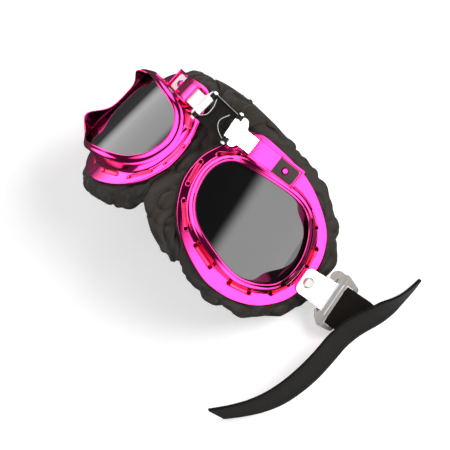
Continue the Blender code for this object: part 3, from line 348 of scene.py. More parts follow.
@dataclass(frozen=True)
class WebbingFinish(Finish):
    """Elastic webbing: ribs across and warp threads along, on the strip's own UV map."""

    rib: float = 0.9 * MM
    size: tuple[float, float] = (20 * MM, 100 * MM)

    WARP = 1.3
    SWING = (0.9, 1.0)
    RELIEF = 0.2 * MM

    def dress(self, tree: NodeTree, shader: bpy.types.Node) -> None:
        """Weave ribs and warp threads and darken the gaps between them with painted shade.

        Args:
            tree: The material's nodes.
            shader: Its surface shader.
        """
        uv = tree.add("UVMap", {"uv_map": "weave"}).outputs[0]
        parts = tree.add("SeparateXYZ", Vector=uv)
        across, along = (2 * math.pi * length / self.rib for length in self.size)
        ribs = tree.math("SINE", tree.math("MULTIPLY", parts.outputs["X"], across))
        warp = tree.math("SINE", tree.math("MULTIPLY", parts.outputs["Y"], along * self.WARP))
        weave = tree.math("MULTIPLY", ribs, warp)
        height = tree.span(weave, -1.0, 1.0, 0.0, 1.0)
        place = tree.add("TexCoord").outputs["Object"]
        fuzz = tree.noise(place, self.grain, self.DETAIL)
        mixed = tree.math("MULTIPLY_ADD", height, 0.5, tree.math("MULTIPLY", fuzz, 0.5))
        # painted shade in the gaps: low parts of the weave take the shade colour; the fuzz varies the tone at
        # random
        tree.feed(shader.inputs["Base Color"], tree.blend(mixed, self.shade, self.colour))
        tree.feed(shader.inputs["Roughness"], tree.span(fuzz, *self.SPREAD, *self.swing()))
        relief = tree.add("Bump", Strength=self.bump, Distance=self.RELIEF, Height=mixed)
        tree.feed(shader.inputs["Normal"], relief.outputs[0])


@dataclass(frozen=True)
class Finishes:
    """Every finish of the goggles, by the frame's slot names."""

    plating: PlatedFinish = PlatedFinish(
        "metallised_pink", (0.60, 0.026, 0.19), (0.54, 0.022, 0.17), 0.05, 1.0, 700.0, 0.006)
    lens: Finish = Finish(
        "smoked_lens", (0.0035, 0.0035, 0.004), (0.002, 0.002, 0.002), 0.02, 0.0, 300.0, 0.0,
        (("IOR", 1.56),))
    chrome: Finish = Finish(
        "chromed_steel", (0.97, 0.965, 0.96), (0.95, 0.95, 0.94), 0.24, 0.3, 80.0, 0.0)
    # right plate's chrome, its tab painted dark as a painted reflection
    tab: PaintedReflectionTabFinish = PaintedReflectionTabFinish(
        "burnished_tab", (0.96, 0.955, 0.95), (0.93, 0.93, 0.92), 0.24, 0.7, 80.0, 0.0)
    trim: Finish = Finish(
        "polished_edge", (0.34, 0.33, 0.31), (0.28, 0.27, 0.25), 0.42, 1.0, 1500.0, 0.002)
    lacquer: Finish = Finish(
        "black_lacquer", (0.005, 0.004, 0.0035), (0.007, 0.006, 0.005), 0.3, 0.0, 2400.0, 0.05,
        (("Specular IOR Level", 0.08),))
    satin: BrushedFinish = BrushedFinish(
        "satin_steel", (0.105, 0.098, 0.091), (0.080, 0.075, 0.070), 0.36, 1.0, 2600.0, 0.06)
    rubber: Finish = Finish(
        "gasket_rubber", (0.015, 0.015, 0.015), (0.025, 0.025, 0.024), 0.7, 0.0, 2000.0, 0.1)
    plastic: Finish = Finish(
        "retainer_plastic", (0.018, 0.018, 0.018), (0.03, 0.03, 0.03), 0.45, 0.0, 3000.0, 0.15)
    cloth: WovenFinish = WovenFinish(
        "padded_cloth", (0.024, 0.0198, 0.0158), (0.007, 0.0057, 0.0045), 0.60, 0.0, 900.0, 0.5,
        (("Specular IOR Level", 0.14), ("Sheen Weight", 0.03)))
    webbing: WebbingFinish = WebbingFinish(
        "elastic_webbing", (0.008, 0.0066, 0.0055), (0.003, 0.0026, 0.0022), 0.85, 0.0, 3000.0, 0.7,
        (("Specular IOR Level", 0.06), ("Sheen Weight", 0.02)))


class Workbench:
    """Mesh helpers shared by every sub-assembly."""

    WELD = 1e-7
    SWELL = 1.6

    @staticmethod
    def keep(name: str, body: bmesh.types.BMesh, material: bpy.types.Material) -> bpy.types.Object:
        """Turn a bmesh into a dressed object at the origin.

        Args:
            name: The piece's name.
            body: The finished shape, in metres.
            material: Its finish.

        Returns:
            The object.
        """
        mesh = bpy.data.meshes.new(name)
        for face in body.faces:
            face.smooth = True
        body.to_mesh(mesh)
        body.free()
        obj = bpy.data.objects.new(name, mesh)
        bpy.context.scene.collection.objects.link(obj)
        mesh.materials.append(material)
        return obj

    @staticmethod
    def lofted(points: np.ndarray, around: bool, along: bool) -> bmesh.types.BMesh:
        """Lay a grid over rows of points.

        Args:
            points: Rows of points, as an array of rows, columns and coordinates.
            around: Whether each row closes on itself.
            along: Whether the last row joins the first.

        Returns:
            The shape, with a UV map named weave.
        """
        if around:
            points = np.concatenate([points, points[:, :1]], 1)
        if along:
            points = np.concatenate([points, points[:1]], 0)
        rows, columns = points.shape[:2]
        body = bmesh.new()
        body.loops.layers.uv.new("weave")
        bmesh.ops.create_grid(body, x_segments=columns - 1, y_segments=rows - 1, size=1.0, calc_uvs=True)
        flat = points.reshape(-1, 3)
        for vertex, place in zip(body.verts, flat):
            vertex.co = place
        if around or along:
            bmesh.ops.remove_doubles(body, verts=body.verts, dist=Workbench.WELD)
        bmesh.ops.recalc_face_normals(body, faces=body.faces)
        return body

    @staticmethod
    def capped(body: bmesh.types.BMesh) -> bmesh.types.BMesh:
        """Close a tube's ends and turn its faces outward.

        Args:
            body: The tube, as a loft with open ends.

        Returns:
            The same shape, closed.
        """
        bmesh.ops.holes_fill(body, edges=[edge for edge in body.edges if edge.is_boundary], sides=0)
        bmesh.ops.recalc_face_normals(body, faces=body.faces)
        return body

    @staticmethod
    def joined(parts: list[bmesh.types.BMesh]) -> bmesh.types.BMesh:
        """Put shapes together as one.

        Args:
            parts: The shapes, which are used up.

        Returns:
            One shape that holds them all.
        """
        body = bmesh.new()
        for part in parts:
            mesh = bpy.data.meshes.new("part")
            part.to_mesh(mesh)
            part.free()
            body.from_mesh(mesh)
            bpy.data.meshes.remove(mesh)
        return body

    @staticmethod
    def curve(points: np.ndarray, pieces: int, closed: bool = False) -> np.ndarray:
        """Return a Catmull-Rom curve through rows of points.

        Args:
            points: The rows that the curve passes through.
            pieces: How many steps lie between two rows.
            closed: Whether the last row leads back to the first.

        Returns:
            The curve's rows.
        """
        if closed:
            before, after, beyond = np.roll(points, 1, 0), np.roll(points, -1, 0), np.roll(points, -2, 0)
            first, tail = points, points[:0]
        else:
            padded = np.concatenate([2 * points[:1] - points[1:2], points, 2 * points[-1:] - points[-2:-1]])
            before, first, after, beyond = padded[:-3], padded[1:-2], padded[2:-1], padded[3:]
            tail = points[-1:]
        shape = (1, pieces) + (1,) * (points.ndim - 1)
        t = np.linspace(0.0, 1.0, pieces, endpoint=False).reshape(shape)
        p0, p1, p2, p3 = (p[:, None] for p in (before, first, after, beyond))
        line = p1 + (p2 - p0) * t / 2 + (2 * p0 - 5 * p1 + 4 * p2 - p3) * t ** 2 / 2
        line = line + (3 * p1 - p0 - 3 * p2 + p3) * t ** 3 / 2
        return np.concatenate([line.reshape(-1, *points.shape[1:]), tail])

    @staticmethod
    def applied(obj: bpy.types.Object) -> None:
        """Apply an object's modifiers to its mesh.

        Args:
            obj: The object, whose old mesh is removed.
        """
        bpy.context.view_layer.update()
        graph = bpy.context.evaluated_depsgraph_get()
        mesh = bpy.data.meshes.new_from_object(obj.evaluated_get(graph))
        obj.modifiers.clear()
        old = obj.data
        obj.data = mesh
        bpy.data.meshes.remove(old)

    @staticmethod
    def positions(obj: bpy.types.Object) -> np.ndarray:
        """Return an object's points.

        Args:
            obj: The object.

        Returns:
            An array of a row for each point.
        """
        points = np.empty(len(obj.data.vertices) * 3)
        obj.data.vertices.foreach_get("co", points)
        return points.reshape(-1, 3)

    @staticmethod
    def place(obj: bpy.types.Object, points: np.ndarray) -> None:
        """Move an object's points."""
        obj.data.vertices.foreach_set("co", points.ravel())
        obj.data.update()

    @staticmethod
    def swell(obj: bpy.types.Object, scale: float) -> np.ndarray:
        """Return soft noise, about -1 to 1, at each of an object's points."""
        places = Workbench.positions(obj)
        return np.array([noise.noise(Vector(place) * scale) * Workbench.SWELL for place in places])

    @staticmethod
    def creases(obj: bpy.types.Object, scale: float, sharpness: int) -> np.ndarray:
        """Return narrow folds, 0 to 1 at their bottoms, at each of an object's points."""
        return (1.0 - np.minimum(np.abs(Workbench.swell(obj, scale)), 1.0)) ** sharpness


def step(values: np.ndarray, low: float, high: float) -> np.ndarray:
    """Return a smooth step from 0 at low to 1 at high."""
    share = np.clip((values - low) / (high - low), 0.0, 1.0)
    return share * share * (3 - 2 * share)


def unit(vectors: np.ndarray) -> np.ndarray:
    """Return vectors at length one."""
    return vectors / np.linalg.norm(vectors, axis=-1, keepdims=True)


def bulge(turns: np.ndarray, towards: float, spread: float, power: int = 2) -> np.ndarray:
    """Return a smooth bump over directions round an outline.

    Args:
        turns: The directions, in radians.
        towards: The bump's middle, in degrees.
        spread: Its half-width, in degrees.
        power: How flat its top is.

    Returns:
        The bump, 1 at its middle.
    """
    away = np.angle(np.exp(1j * (turns - math.radians(towards))))
    return np.exp(-((away / math.radians(spread)) ** power))


class Axes:
    """A body's own axes in the frame."""

    SLIDE_TILT = math.radians(4.0)

    def __init__(self, origin: np.ndarray, x: np.ndarray, y: np.ndarray, z: np.ndarray) -> None:
        """Keep the axes."""
        self.origin, self.x, self.y, self.z = origin, x, y, z

    def out(self, points: np.ndarray) -> np.ndarray:
        """Return points given on these axes in the frame's metres."""
        return self.origin + points[..., :1] * self.x + points[..., 1:2] * self.y + points[..., 2:] * self.z

    def turned(self, angle: float, origin: np.ndarray) -> "Axes":
        """Return axes turned about y, x towards -z, at a point given in the frame.

        Args:
            angle: The turn, in radians.
            origin: Where the new axes start.

        Returns:
            The turned axes.
        """
        x = self.x * math.cos(angle) - self.z * math.sin(angle)
        z = self.x * math.sin(angle) + self.z * math.cos(angle)
        return Axes(origin, x, self.y, z)

    @staticmethod
    def joint(name: str) -> tuple[np.ndarray, np.ndarray]:
        """Return a joint's place and axis."""
        found = next(j for j in frame["joints"] if j["name"] == name)
        return np.array(found["pos_m"]), np.array(found["axis"])

    @classmethod
    def eyecup(cls, side: Side) -> "Axes":
        """Return an eyecup's axes, from the fold's and the width slide's.

        Args:
            side: Which eyecup.

        Returns:
            Axes with x to the temple, y to the brow and z out of the lens.
        """
        y = cls.joint("fold_" + side.label)[1] * side.value
        origin, slide = cls.joint("width_" + side.label)
        x = (slide + math.sin(cls.SLIDE_TILT) * y) / math.cos(cls.SLIDE_TILT)
        return cls(origin, x, y, np.cross(x, y) * side.value)


class Outline:
    """A smooth closed outline about the lens centre, sampled by direction."""

    DENSE, SMOOTHING = 40, 48

    def __init__(self, shares: tuple, width: float, height: float, steps: int) -> None:
        """Sample the outline.

        Args:
            shares: Points as shares of the half sizes, anticlockwise from the nose.
            width: The width that the shares belong to.
            height: The height that the shares belong to.
            steps: How many points to sample.
        """
        dense = Workbench.curve(np.array(shares) * (width / 2, height / 2), self.DENSE, True)
        angles = np.unwrap(np.arctan2(dense[:, 1], dense[:, 0]))
        order = np.argsort(angles)
        self.turns = np.linspace(0.0, 2 * math.pi, steps, endpoint=False)
        radii = np.hypot(dense[:, 0], dense[:, 1])
        reach = np.interp(self.turns, angles[order], radii[order], period=2 * math.pi)
        for _ in range(max(1, steps // self.SMOOTHING)):
            reach = (np.roll(reach, 1) + 2 * reach + np.roll(reach, -1)) / 4
        self.points = np.stack([reach * np.cos(self.turns), reach * np.sin(self.turns)], 1)
        ahead = unit(np.roll(self.points, -1, 0) - np.roll(self.points, 1, 0))
        self.normals = np.stack([ahead[:, 1], -ahead[:, 0]], 1)

    def offset(self, distance: np.ndarray | float) -> np.ndarray:
        """Return the outline moved out by a distance."""
        return self.points + self.normals * np.reshape(distance, (-1, 1))


@dataclass
class Eyecup:
    """One eyecup's moulding and lens."""

    side: Side
    lens_width: float = 57.6 * MM
    lens_height: float = 44.4 * MM
    flange_width: float = 76.0 * MM
    flange_height: float = 70.0 * MM
    crown: float = 12.5 * MM
    rim_radii: tuple[float, float] = (44.0 * MM, 42.0 * MM)
    flange_radii: tuple[float, float] = (150.0 * MM, 75.0 * MM)
    flange_thickness: float = 2.0 * MM
    lip: float = 3.3 * MM
    bead: float = 0.5 * MM
    ledge: float = 1.7 * MM
    pocket: float = 5.6 * MM
    lens_dome: float = 0.3 * MM
    pane_radii: tuple[float, float] = (58.0 * MM, 42.0 * MM)
    pane_drop: float = 0.9 * MM
    groove: float = 0.5 * MM
    groove_width: float = 1.7 * MM
    groove_soft: float = 0.2 * MM
    hole: float = 2.0 * MM
    hole_depth: float = 1.7 * MM
    pane_thick: float = 1.5 * MM
    pane_seat: float = 0.3 * MM
    pane_overlap: float = 0.9 * MM
    pane_rings: int = 26
    flange_turn: float = 1.5 * MM
    seat: float = 1.2 * MM
    steps: int = 150

    BEND = 8.0 * MM
    LIP_PROFILE = (
        (0.0, 1.6), (0.04, 0.5), (0.12, 0.0), (0.24, 0.5), (0.36, 1.3), (0.47, 2.1), (0.58, 2.45),
        (0.69, 2.6), (0.82, 3.1), (0.94, 3.9), (1.0, 4.8),
    )
    WALL_PROFILE = (
        (0.03, 0.74), (0.07, 0.52), (0.12, 0.32), (0.19, 0.16), (0.27, 0.06), (0.36, 0.015), (0.45, 0.0),
        (0.54, 0.0), (0.63, 0.0), (0.72, 0.0), (0.81, 0.0), (0.90, 0.0), (0.98, 0.0),
    )
    EDGE_PROFILE = ((-1.0 * MM, 0.0), (-0.4 * MM, 0.02 * MM), (-0.08 * MM, 0.18 * MM), (0.0, 0.5 * MM))
    FOOT_PROFILE = ((0.0, -0.4 * MM), (-0.3 * MM, 0.0), (-4.0 * MM, 0.0))
    LIP_FOOT, WALL_FOOT = 0.92, 0.30
    SEAT_EASE, MOUTH = 0.1 * MM, 1.1 * MM
    FACE_LOW, FACE_HIGH = (-0.9 * MM, -0.3 * MM), (2.5 * MM, 4.0 * MM)
    HOLE_WALL = (-0.45 * MM, 0.1 * MM)
    TIPS = ((-34.0, 14.0, 7.5), (40.0, 12.0, 4.5))
    LENS_SHARES = (
        (-1.02, 0.16), (-0.91, -0.34), (-0.57, -0.74), (0.22, -1.07), (0.70, -0.92), (0.93, -0.57),
        (0.97, -0.05), (0.82, 0.49), (0.56, 0.80), (0.20, 0.90), (-0.60, 0.87), (-0.85, 0.77), (-0.99, 0.50),
    )
    FLANGE_SHARES = (
        (-0.985, 0.06), (-0.95, -0.15), (-0.81, -0.47), (-0.55, -0.75), (-0.14, -0.97), (0.20, -1.01),
        (0.48, -0.95), (0.71, -0.81), (0.93, -0.52), (1.02, -0.05), (0.88, 0.38), (0.60, 0.67), (0.26, 0.88),
        (-0.16, 0.99), (-0.55, 1.02), (-0.71, 0.82), (-0.85, 0.57), (-0.95, 0.36),
    )
    SLOT_SHARES = (
        ((-0.79, 0.50), (-0.59, 0.64)), ((-0.925, 0.28), (-0.905, -0.05)), ((-0.83, -0.27), (-0.62, -0.56)),
        ((-0.41, -0.67), (-0.12, -0.80)), ((0.18, -0.84), (0.45, -0.80)), ((0.68, -0.65), (0.80, -0.42)),
        ((0.845, 0.18), (0.865, -0.08)), ((0.50, 0.57), (0.69, 0.41)), ((-0.09, 0.67), (0.18, 0.66)),
    )

    def __post_init__(self) -> None:
        """Sample the outlines and find the axes."""
        self.axes = Axes.eyecup(self.side)
        self.body = "eyecup_" + self.side.label
        self.lens = Outline(self.LENS_SHARES, self.lens_width, self.lens_height, self.steps)
        self.flange = Outline(self.FLANGE_SHARES, self.flange_width, self.flange_height, self.steps)

    @staticmethod
    def wrap(x: np.ndarray, radii: tuple[float, float]) -> np.ndarray:
        """Return how far a surface has fallen back at x, its curvature changing smoothly at the middle."""
        share = step(x, -Eyecup.BEND, Eyecup.BEND)
        return x ** 2 / 2 * ((1 - share) / radii[0] + share / radii[1])

    def flare(self, xy: np.ndarray) -> np.ndarray:
        """Return how far the lip stands up towards its two temple corners.

        Args:
            xy: Points on the lip, in the eyecup's frame.

        Returns:
            The height to add at each point.
        """
        turns = np.degrees(np.arctan2(xy[:, 1], xy[:, 0]))
        height = np.zeros(len(xy))
        for corner, spread, rise in self.TIPS:
            height += rise * MM * np.exp(-(((turns - corner) / spread) ** 2))
        return height

    def rim(self, offset: float, drop: float, raised: bool = True) -> np.ndarray:
        """Return a ring that follows the lip's crest, raised with its corners or level below them.

        Args:
            offset: How far outside the lens outline the ring runs.
            drop: How far below the crest it lies.
            raised: Whether it follows the raised corners.

        Returns:
            The ring's points.
        """
        xy = self.lens.offset(offset)
        height = self.crown - self.wrap(xy[:, 0], self.rim_radii) - drop
        return np.column_stack([xy, height + (self.flare(xy) if raised else 0.0)])

    def edge(self, offset: np.ndarray | float, drop: np.ndarray | float,
             outline: Outline | None = None) -> np.ndarray:
        """Return a ring that follows the flange's edge.

        Args:
            offset: How far outside the outline the ring runs.
            drop: How far below the flange's face it lies.
            outline: The outline, if it isn't the moulding's own sampling of the flange.

        Returns:
            The ring's points.
        """
        xy = (outline or self.flange).offset(offset)
        return np.column_stack([xy, -self.wrap(xy[:, 0], self.flange_radii) - drop])

    def between(self, share: float, rise: float) -> np.ndarray:
        """Return a ring part of the way from under the lip to the flange's edge, and part way up.

        Args:
            share: The share of the way outward.
            rise: The share of the height from the flange to the lip.

        Returns:
            The ring's points.
        """
        inner = self.lens.offset(self.lip - self.bead)
        outer = self.flange.offset(-self.flange_turn)
        xy = inner + (outer - inner) * share
        top = self.crown - self.wrap(inner[:, 0], self.rim_radii) - self.ledge - self.bead + self.flare(inner)
        foot = -self.wrap(xy[:, 0], self.flange_radii)
        return np.column_stack([xy, foot + (top - foot) * rise])

    def moulding(self, material: bpy.types.Material) -> bpy.types.Object:
        """Shape the plated moulding: double-beaded lip, wall, flange, stitch slots and the channel's bed.

        Args:
            material: The plated finish.

        Returns:
            The moulding, riding on its eyecup.
        """
        lip, bead, under = self.lip, self.bead, self.flange_thickness
        rings = [self.rim(0.0, self.ledge, False)]
        rings += [self.rim(lip * share, bead * drop) for share, drop in self.LIP_PROFILE]
        rings.append(self.rim(lip * self.LIP_FOOT, self.ledge + bead))
        rings += [self.between(share, rise) for share, rise in self.WALL_PROFILE]
        rings += [self.edge(offset, drop) for offset, drop in self.EDGE_PROFILE]
        rings += [self.edge(offset, under + drop) for offset, drop in self.FOOT_PROFILE]
        rings += [
            self.between(self.WALL_FOOT, 0.0) - (0.0, 0.0, under), self.rim(self.seat, self.pocket, False),
            self.rim(self.seat, self.ledge + self.SEAT_EASE, False), self.rim(self.MOUTH, self.ledge, False),
        ]
        body = Workbench.lofted(np.stack(rings), True, True)
        obj = Workbench.keep("moulding_" + self.side.label, body, material)
        cage = obj.modifiers.new("round", "SUBSURF")
        cage.levels = cage.render_levels = 2
        Workbench.applied(obj)
        points, sunk = self.pressed(Workbench.positions(obj))
        Workbench.place(obj, self.axes.out(points))
        obj.data.attributes.new("sunk", "FLOAT", "POINT").data.foreach_set("value", sunk.astype(np.float32))
        if self.side is Side.LEFT:
            obj.data.flip_normals()
        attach(obj, self.body)
        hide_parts("frame_" + self.side.label)
        return obj

    def pressed(self, points: np.ndarray) -> tuple[np.ndarray, np.ndarray]:
        """Press in the stitch slots, their end holes and the channel's bed.

        Args:
            points: The moulding's points in the eyecup's frame.

        Returns:
            The pressed points, and how deep each lies in a slot as a share of a hole's depth.
        """
        half = np.array((self.flange_width, self.flange_height)) / 2
        xy, height = points[:, :2], points[:, 2]
        face = -self.wrap(points[:, 0], self.flange_radii)
        front = step(height - face, *self.FACE_LOW) * (1 - step(height - face, *self.FACE_HIGH))
        sink = np.zeros(len(points))
        for start, end in self.SLOT_SHARES:
            start, end = np.array(start) * half, np.array(end) * half
            along = end - start
            share = np.clip((xy - start) @ along / (along @ along), 0.0, 1.0)
            away = np.linalg.norm(xy - start - share[:, None] * along, axis=1)
            middle, soft = self.groove_width / 2, self.groove_soft
            sink = np.maximum(sink, self.groove * (1 - step(away, middle - soft, middle + soft)))
            for point in (start, end):
                away = np.linalg.norm(xy - point, axis=1)
                wall = step(away, *(self.hole / 2 + margin for margin in self.HOLE_WALL))
                sink = np.maximum(sink, self.hole_depth * (1 - wall))
        points = points.copy()
        points[:, 2] -= sink * front
        u, v = PlateChannel.along(points)
        bed = np.ones(len(points))
        for place, (low, high) in ((u, PlateChannel.BED_ALONG), (v, PlateChannel.BED_ACROSS)):
            bed *= step(place, *low) * (1 - step(place, *high))
        floor = np.minimum(points[:, 2], PlateChannel.BED_FLOOR)
        points[:, 2] += (floor - points[:, 2]) * bed
        return points, sink * front * (1 - bed) / self.hole_depth

    def glazing(self, material: bpy.types.Material) -> bpy.types.Object:
        """Shape the lens: a domed smoked pane seated on the moulding's ledge.

        Args:
            material: The smoked finish.

        Returns:
            The pane, riding on its eyecup.
        """
        front = self.ledge + self.pane_seat + self.pane_drop
        rim = self.rim(self.pane_overlap, 0.0)
        rows = []
        for share in np.linspace(0.0, 1.0, self.pane_rings):
            xy = rim[:, :2] * share
            dome = self.lens_dome * (1 - share ** 2)
            height = self.crown - self.wrap(xy[:, 0], self.pane_radii) - front + dome
            rows.append(np.column_stack([xy, height]))
        back = [row - (0.0, 0.0, self.pane_thick) for row in rows[::-1]]
        body = Workbench.lofted(self.axes.out(np.stack(rows + back)), True, False)
        bmesh.ops.recalc_face_normals(body, faces=body.faces)
        obj = Workbench.keep("lens_pane_" + self.side.label, body, material)
        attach(obj, self.body)
        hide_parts("lens_" + self.side.label)
        return obj


@dataclass
class PlateChannel:
    """The raised channel on the flange that the bridge plate's tongue slides in."""

    cup: Eyecup
    start: float = 13.2 * MM
    cover_end: float = 26.0 * MM
    end: float = 37.5 * MM
    low: float = -6.0 * MM
    high: float = 5.0 * MM
    rail: float = 1.2 * MM
    roof: float = 0.85 * MM
    rise: float = 0.5 * MM
    foot: float = -4.1 * MM
    cover_thick: float = 0.9 * MM
    cover_inset: float = 0.4 * MM
    brim: float = -0.35 * MM
    floor: float = -1.75 * MM
    gap: float = 0.1 * MM

    HINGE = (-31.5 * MM, 30.4 * MM, 2.7 * MM)
    TILT = math.radians(-4.0)
    ROUNDS = (0.3 * MM, 0.45 * MM, 0.4 * MM, 0.2 * MM)
    NOTCH = 0.2 * MM
    BED_ALONG = ((2.4 * MM, 3.2 * MM), (37.6 * MM, 38.2 * MM))
    BED_ACROSS = ((-5.6 * MM, -5.0 * MM), (4.0 * MM, 4.6 * MM))
    BED_FLOOR = 0.7 * MM

    @classmethod
    def along(cls, points: np.ndarray) -> tuple[np.ndarray, np.ndarray]:
        """Return how far points lie along and across the channel.

        Args:
            points: Points on the eyecup's axes.

        Returns:
            The distances along the channel, and those across it.
        """
        x, y = points[:, 0] - cls.HINGE[0], points[:, 1] - cls.HINGE[1]
        cos, sin = math.cos(cls.TILT), math.sin(cls.TILT)
        return x * cos + y * sin, y * cos - x * sin

    @classmethod
    def in_cup(cls, points: np.ndarray) -> np.ndarray:
        """Return channel points on the eyecup's axes.

        Args:
            points: Points on the channel's axes.

        Returns:
            The same points on the eyecup's axes.
        """
        cos, sin = math.cos(cls.TILT), math.sin(cls.TILT)
        u, v, height = points.T
        return np.column_stack([u * cos - v * sin, u * sin + v * cos, height]) + np.array(cls.HINGE)

    def slab(self, low: tuple, high: tuple, bevel: float) -> bmesh.types.BMesh:
        """Return a block with rounded edges, in the channel's own axes.

        Args:
            low: Its lowest corner.
            high: Its highest corner.
            bevel: The width of its rounded edges.

        Returns:
            The block.
        """
        body = bmesh.new()
        bmesh.ops.create_cube(body, size=1.0)
        size = Vector(high) - Vector(low)
        bmesh.ops.scale(body, verts=body.verts, vec=size)
        bmesh.ops.translate(body, verts=body.verts, vec=(Vector(high) + Vector(low)) / 2)
        bmesh.ops.bevel(body, geom=body.edges, offset=bevel, segments=3, affect="EDGES", profile=0.5,
                        material=-1)
        return body

    def build(self, material: bpy.types.Material) -> bpy.types.Object:
        """Shape the channel: cover, two rails, side walls and the frame round the tab's recess.

        Args:
            material: The plated finish.

        Returns:
            The channel, riding on its eyecup.
        """
        start, cover, end, rail = self.start, self.cover_end, self.end, self.rail
        low, high, foot, top = self.low, self.high, self.foot, self.roof + self.rise
        inset, gap = self.cover_inset, self.gap
        lid, wall, rim, bed = self.ROUNDS
        body = Workbench.joined([self.slab(*sizes) for sizes in (
            ((start, low + inset, self.roof - self.cover_thick), (cover, high - inset, self.roof), lid),
            ((start, low, foot), (end, low + rail, top), wall),
            ((start, high - rail, foot), (cover, high, top), wall),
            ((cover - rail, high - rail, foot), (end + rail, high, self.brim), rim),
            ((end + gap, low + self.NOTCH, foot), (end + rail + gap, high, self.brim), rim),
            ((cover - rail, low + rail / 2, foot), (end + rail / 2, high - rail / 2, self.floor), bed),
        )])
        points = np.array([vertex.co for vertex in body.verts])
        for vertex, place in zip(body.verts, self.cup.axes.out(self.in_cup(points))):
            vertex.co = place
        if self.cup.side is Side.LEFT:
            bmesh.ops.reverse_faces(body, faces=body.faces)
        obj = Workbench.keep("plate_channel_" + self.cup.side.label, body, material)
        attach(obj, self.cup.body)
        return obj


@dataclass
class Padding:
    """The gathered cushion ring behind one eyecup."""

    cup: Eyecup
    reach: float = 6.6 * MM
    nose_reach: float = -2.5 * MM
    depth: float = 15.0 * MM
    nose_depth: float = 3.0 * MM
    gather: float = 0.9 * MM
    gathers: int = 16
    dent: float = 10.6 * MM
    lobe: float = 4.5 * MM
    gap: float = 0.35 * MM
    seam: float = 1.5 * MM
    steps: int = 360

    SPILLS = ((20.0, 10.0, 0.62), (-9.5, 21.0, -0.52), (-40.0, 10.0, 1.1))
    CROWN = (
        (0.18, 0.015), (0.45, 0.06), (0.72, 0.15), (0.90, 0.29), (1.0, 0.50), (0.92, 0.70), (0.72, 0.84),
        (0.42, 0.94), (0.10, 0.99),
    )
    TURN_IN = ((-0.2, 1.03, 0.7, 0.3), (-0.5, 1.05, 0.4, 0.6))
    INSIDE = (0.98, 0.85, 0.5, 0.2)
    NOSE_POWER, PUCKER = 5, (0.4, 1.6)
    WOBBLE = (3, 2.2)
    TUCK = (-9.5, 26.5, 6)
    LOBE = (-48.0, 26.0)
    FOLDS = (75.0, 5, 1.8 * MM)
    FINE = (210.0, 0.45 * MM)

    def build(self, material: bpy.types.Material) -> bpy.types.Object:
        """Shape the cushion: crown, drawn-in edges, gathers and creases.

        Args:
            material: The cloth.

        Returns:
            The cushion, riding on its eyecup.
        """
        cup = self.cup
        lens = Outline(cup.LENS_SHARES, cup.lens_width, cup.lens_height, self.steps)
        flange = Outline(cup.FLANGE_SHARES, cup.flange_width, cup.flange_height, self.steps)
        turns = flange.turns
        nose = np.maximum(0.0, -np.cos(turns)) ** self.NOSE_POWER
        dent, lobe = (0.0, 0.0) if cup.side is Side.RIGHT else (self.dent, self.lobe)
        tuck = dent * bulge(turns, *self.TUCK)
        loop, sway = self.WOBBLE
        wobble = np.array([noise.noise(Vector((math.cos(turn) * loop, math.sin(turn) * loop, cup.side.value)))
                           for turn in turns])
        phase = self.gathers * turns + sway * wobble
        shift, swell = self.PUCKER
        gather = self.gather * (swell * np.abs(np.sin(phase / 2 + shift)) - 1.0)
        reach = self.reach + (self.nose_reach - self.reach) * nose
        depth = self.depth + (self.nose_depth - self.depth) * nose
        for towards, spread, share in self.SPILLS:
            depth = depth + dent * share * bulge(turns, towards, spread)
        start = cup.flange_thickness + self.gap
        reach = reach + lobe * bulge(turns, *self.LOBE)

        def outer(reach_share: float, depth_share: float, inset: float = 0.0) -> np.ndarray:
            """Return a ring of the outer side, at shares of the cushion's reach and depth."""
            gathered = gather * reach_share * (1.0 - nose)
            offset = reach * reach_share + gathered - tuck * depth_share ** 0.5 - inset
            return cup.edge(offset, start + depth * depth_share, flange)

        def inner(depth_share: float) -> np.ndarray:
            """Return a ring of the inner side, at a share of the cushion's depth."""
            xy = lens.offset(cup.lip + self.seam)
            return np.column_stack([xy, -cup.wrap(xy[:, 0], cup.flange_radii) - start - depth * depth_share])

        rings = np.stack([
            inner(0.0), outer(0.0, 0.0, self.seam), *(outer(*shares) for shares in self.CROWN),
            *(outer(share, 1.0) * out + inner(deep) * within for share, deep, out, within in self.TURN_IN),
            *(inner(share) for share in self.INSIDE),
        ])
        fine = Workbench.curve(rings, 5, True)
        body = Workbench.lofted(cup.axes.out(fine), True, True)
        obj = Workbench.keep("cushion_" + cup.side.label, body, material)
        self.crease(obj)
        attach(obj, cup.body)
        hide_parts("pad_" + cup.side.label)
        return obj

    def crease(self, obj: bpy.types.Object) -> None:
        """Crease the cloth with soft folds and press it flat where it rests.

        Args:
            obj: The cushion.
        """
        points = Workbench.positions(obj)
        normals = np.empty(len(points) * 3)
        obj.data.vertices.foreach_get("normal", normals)
        normals = normals.reshape(-1, 3)
        scale, sharpness, deep = self.FOLDS
        shift = self.FINE[1] * Workbench.swell(obj, self.FINE[0])
        shift -= deep * Workbench.creases(obj, scale, sharpness)
        points = points + normals * shift[:, None]
        points[:, 2] = np.maximum(points[:, 2], TABLE_GAP)
        Workbench.place(obj, points)


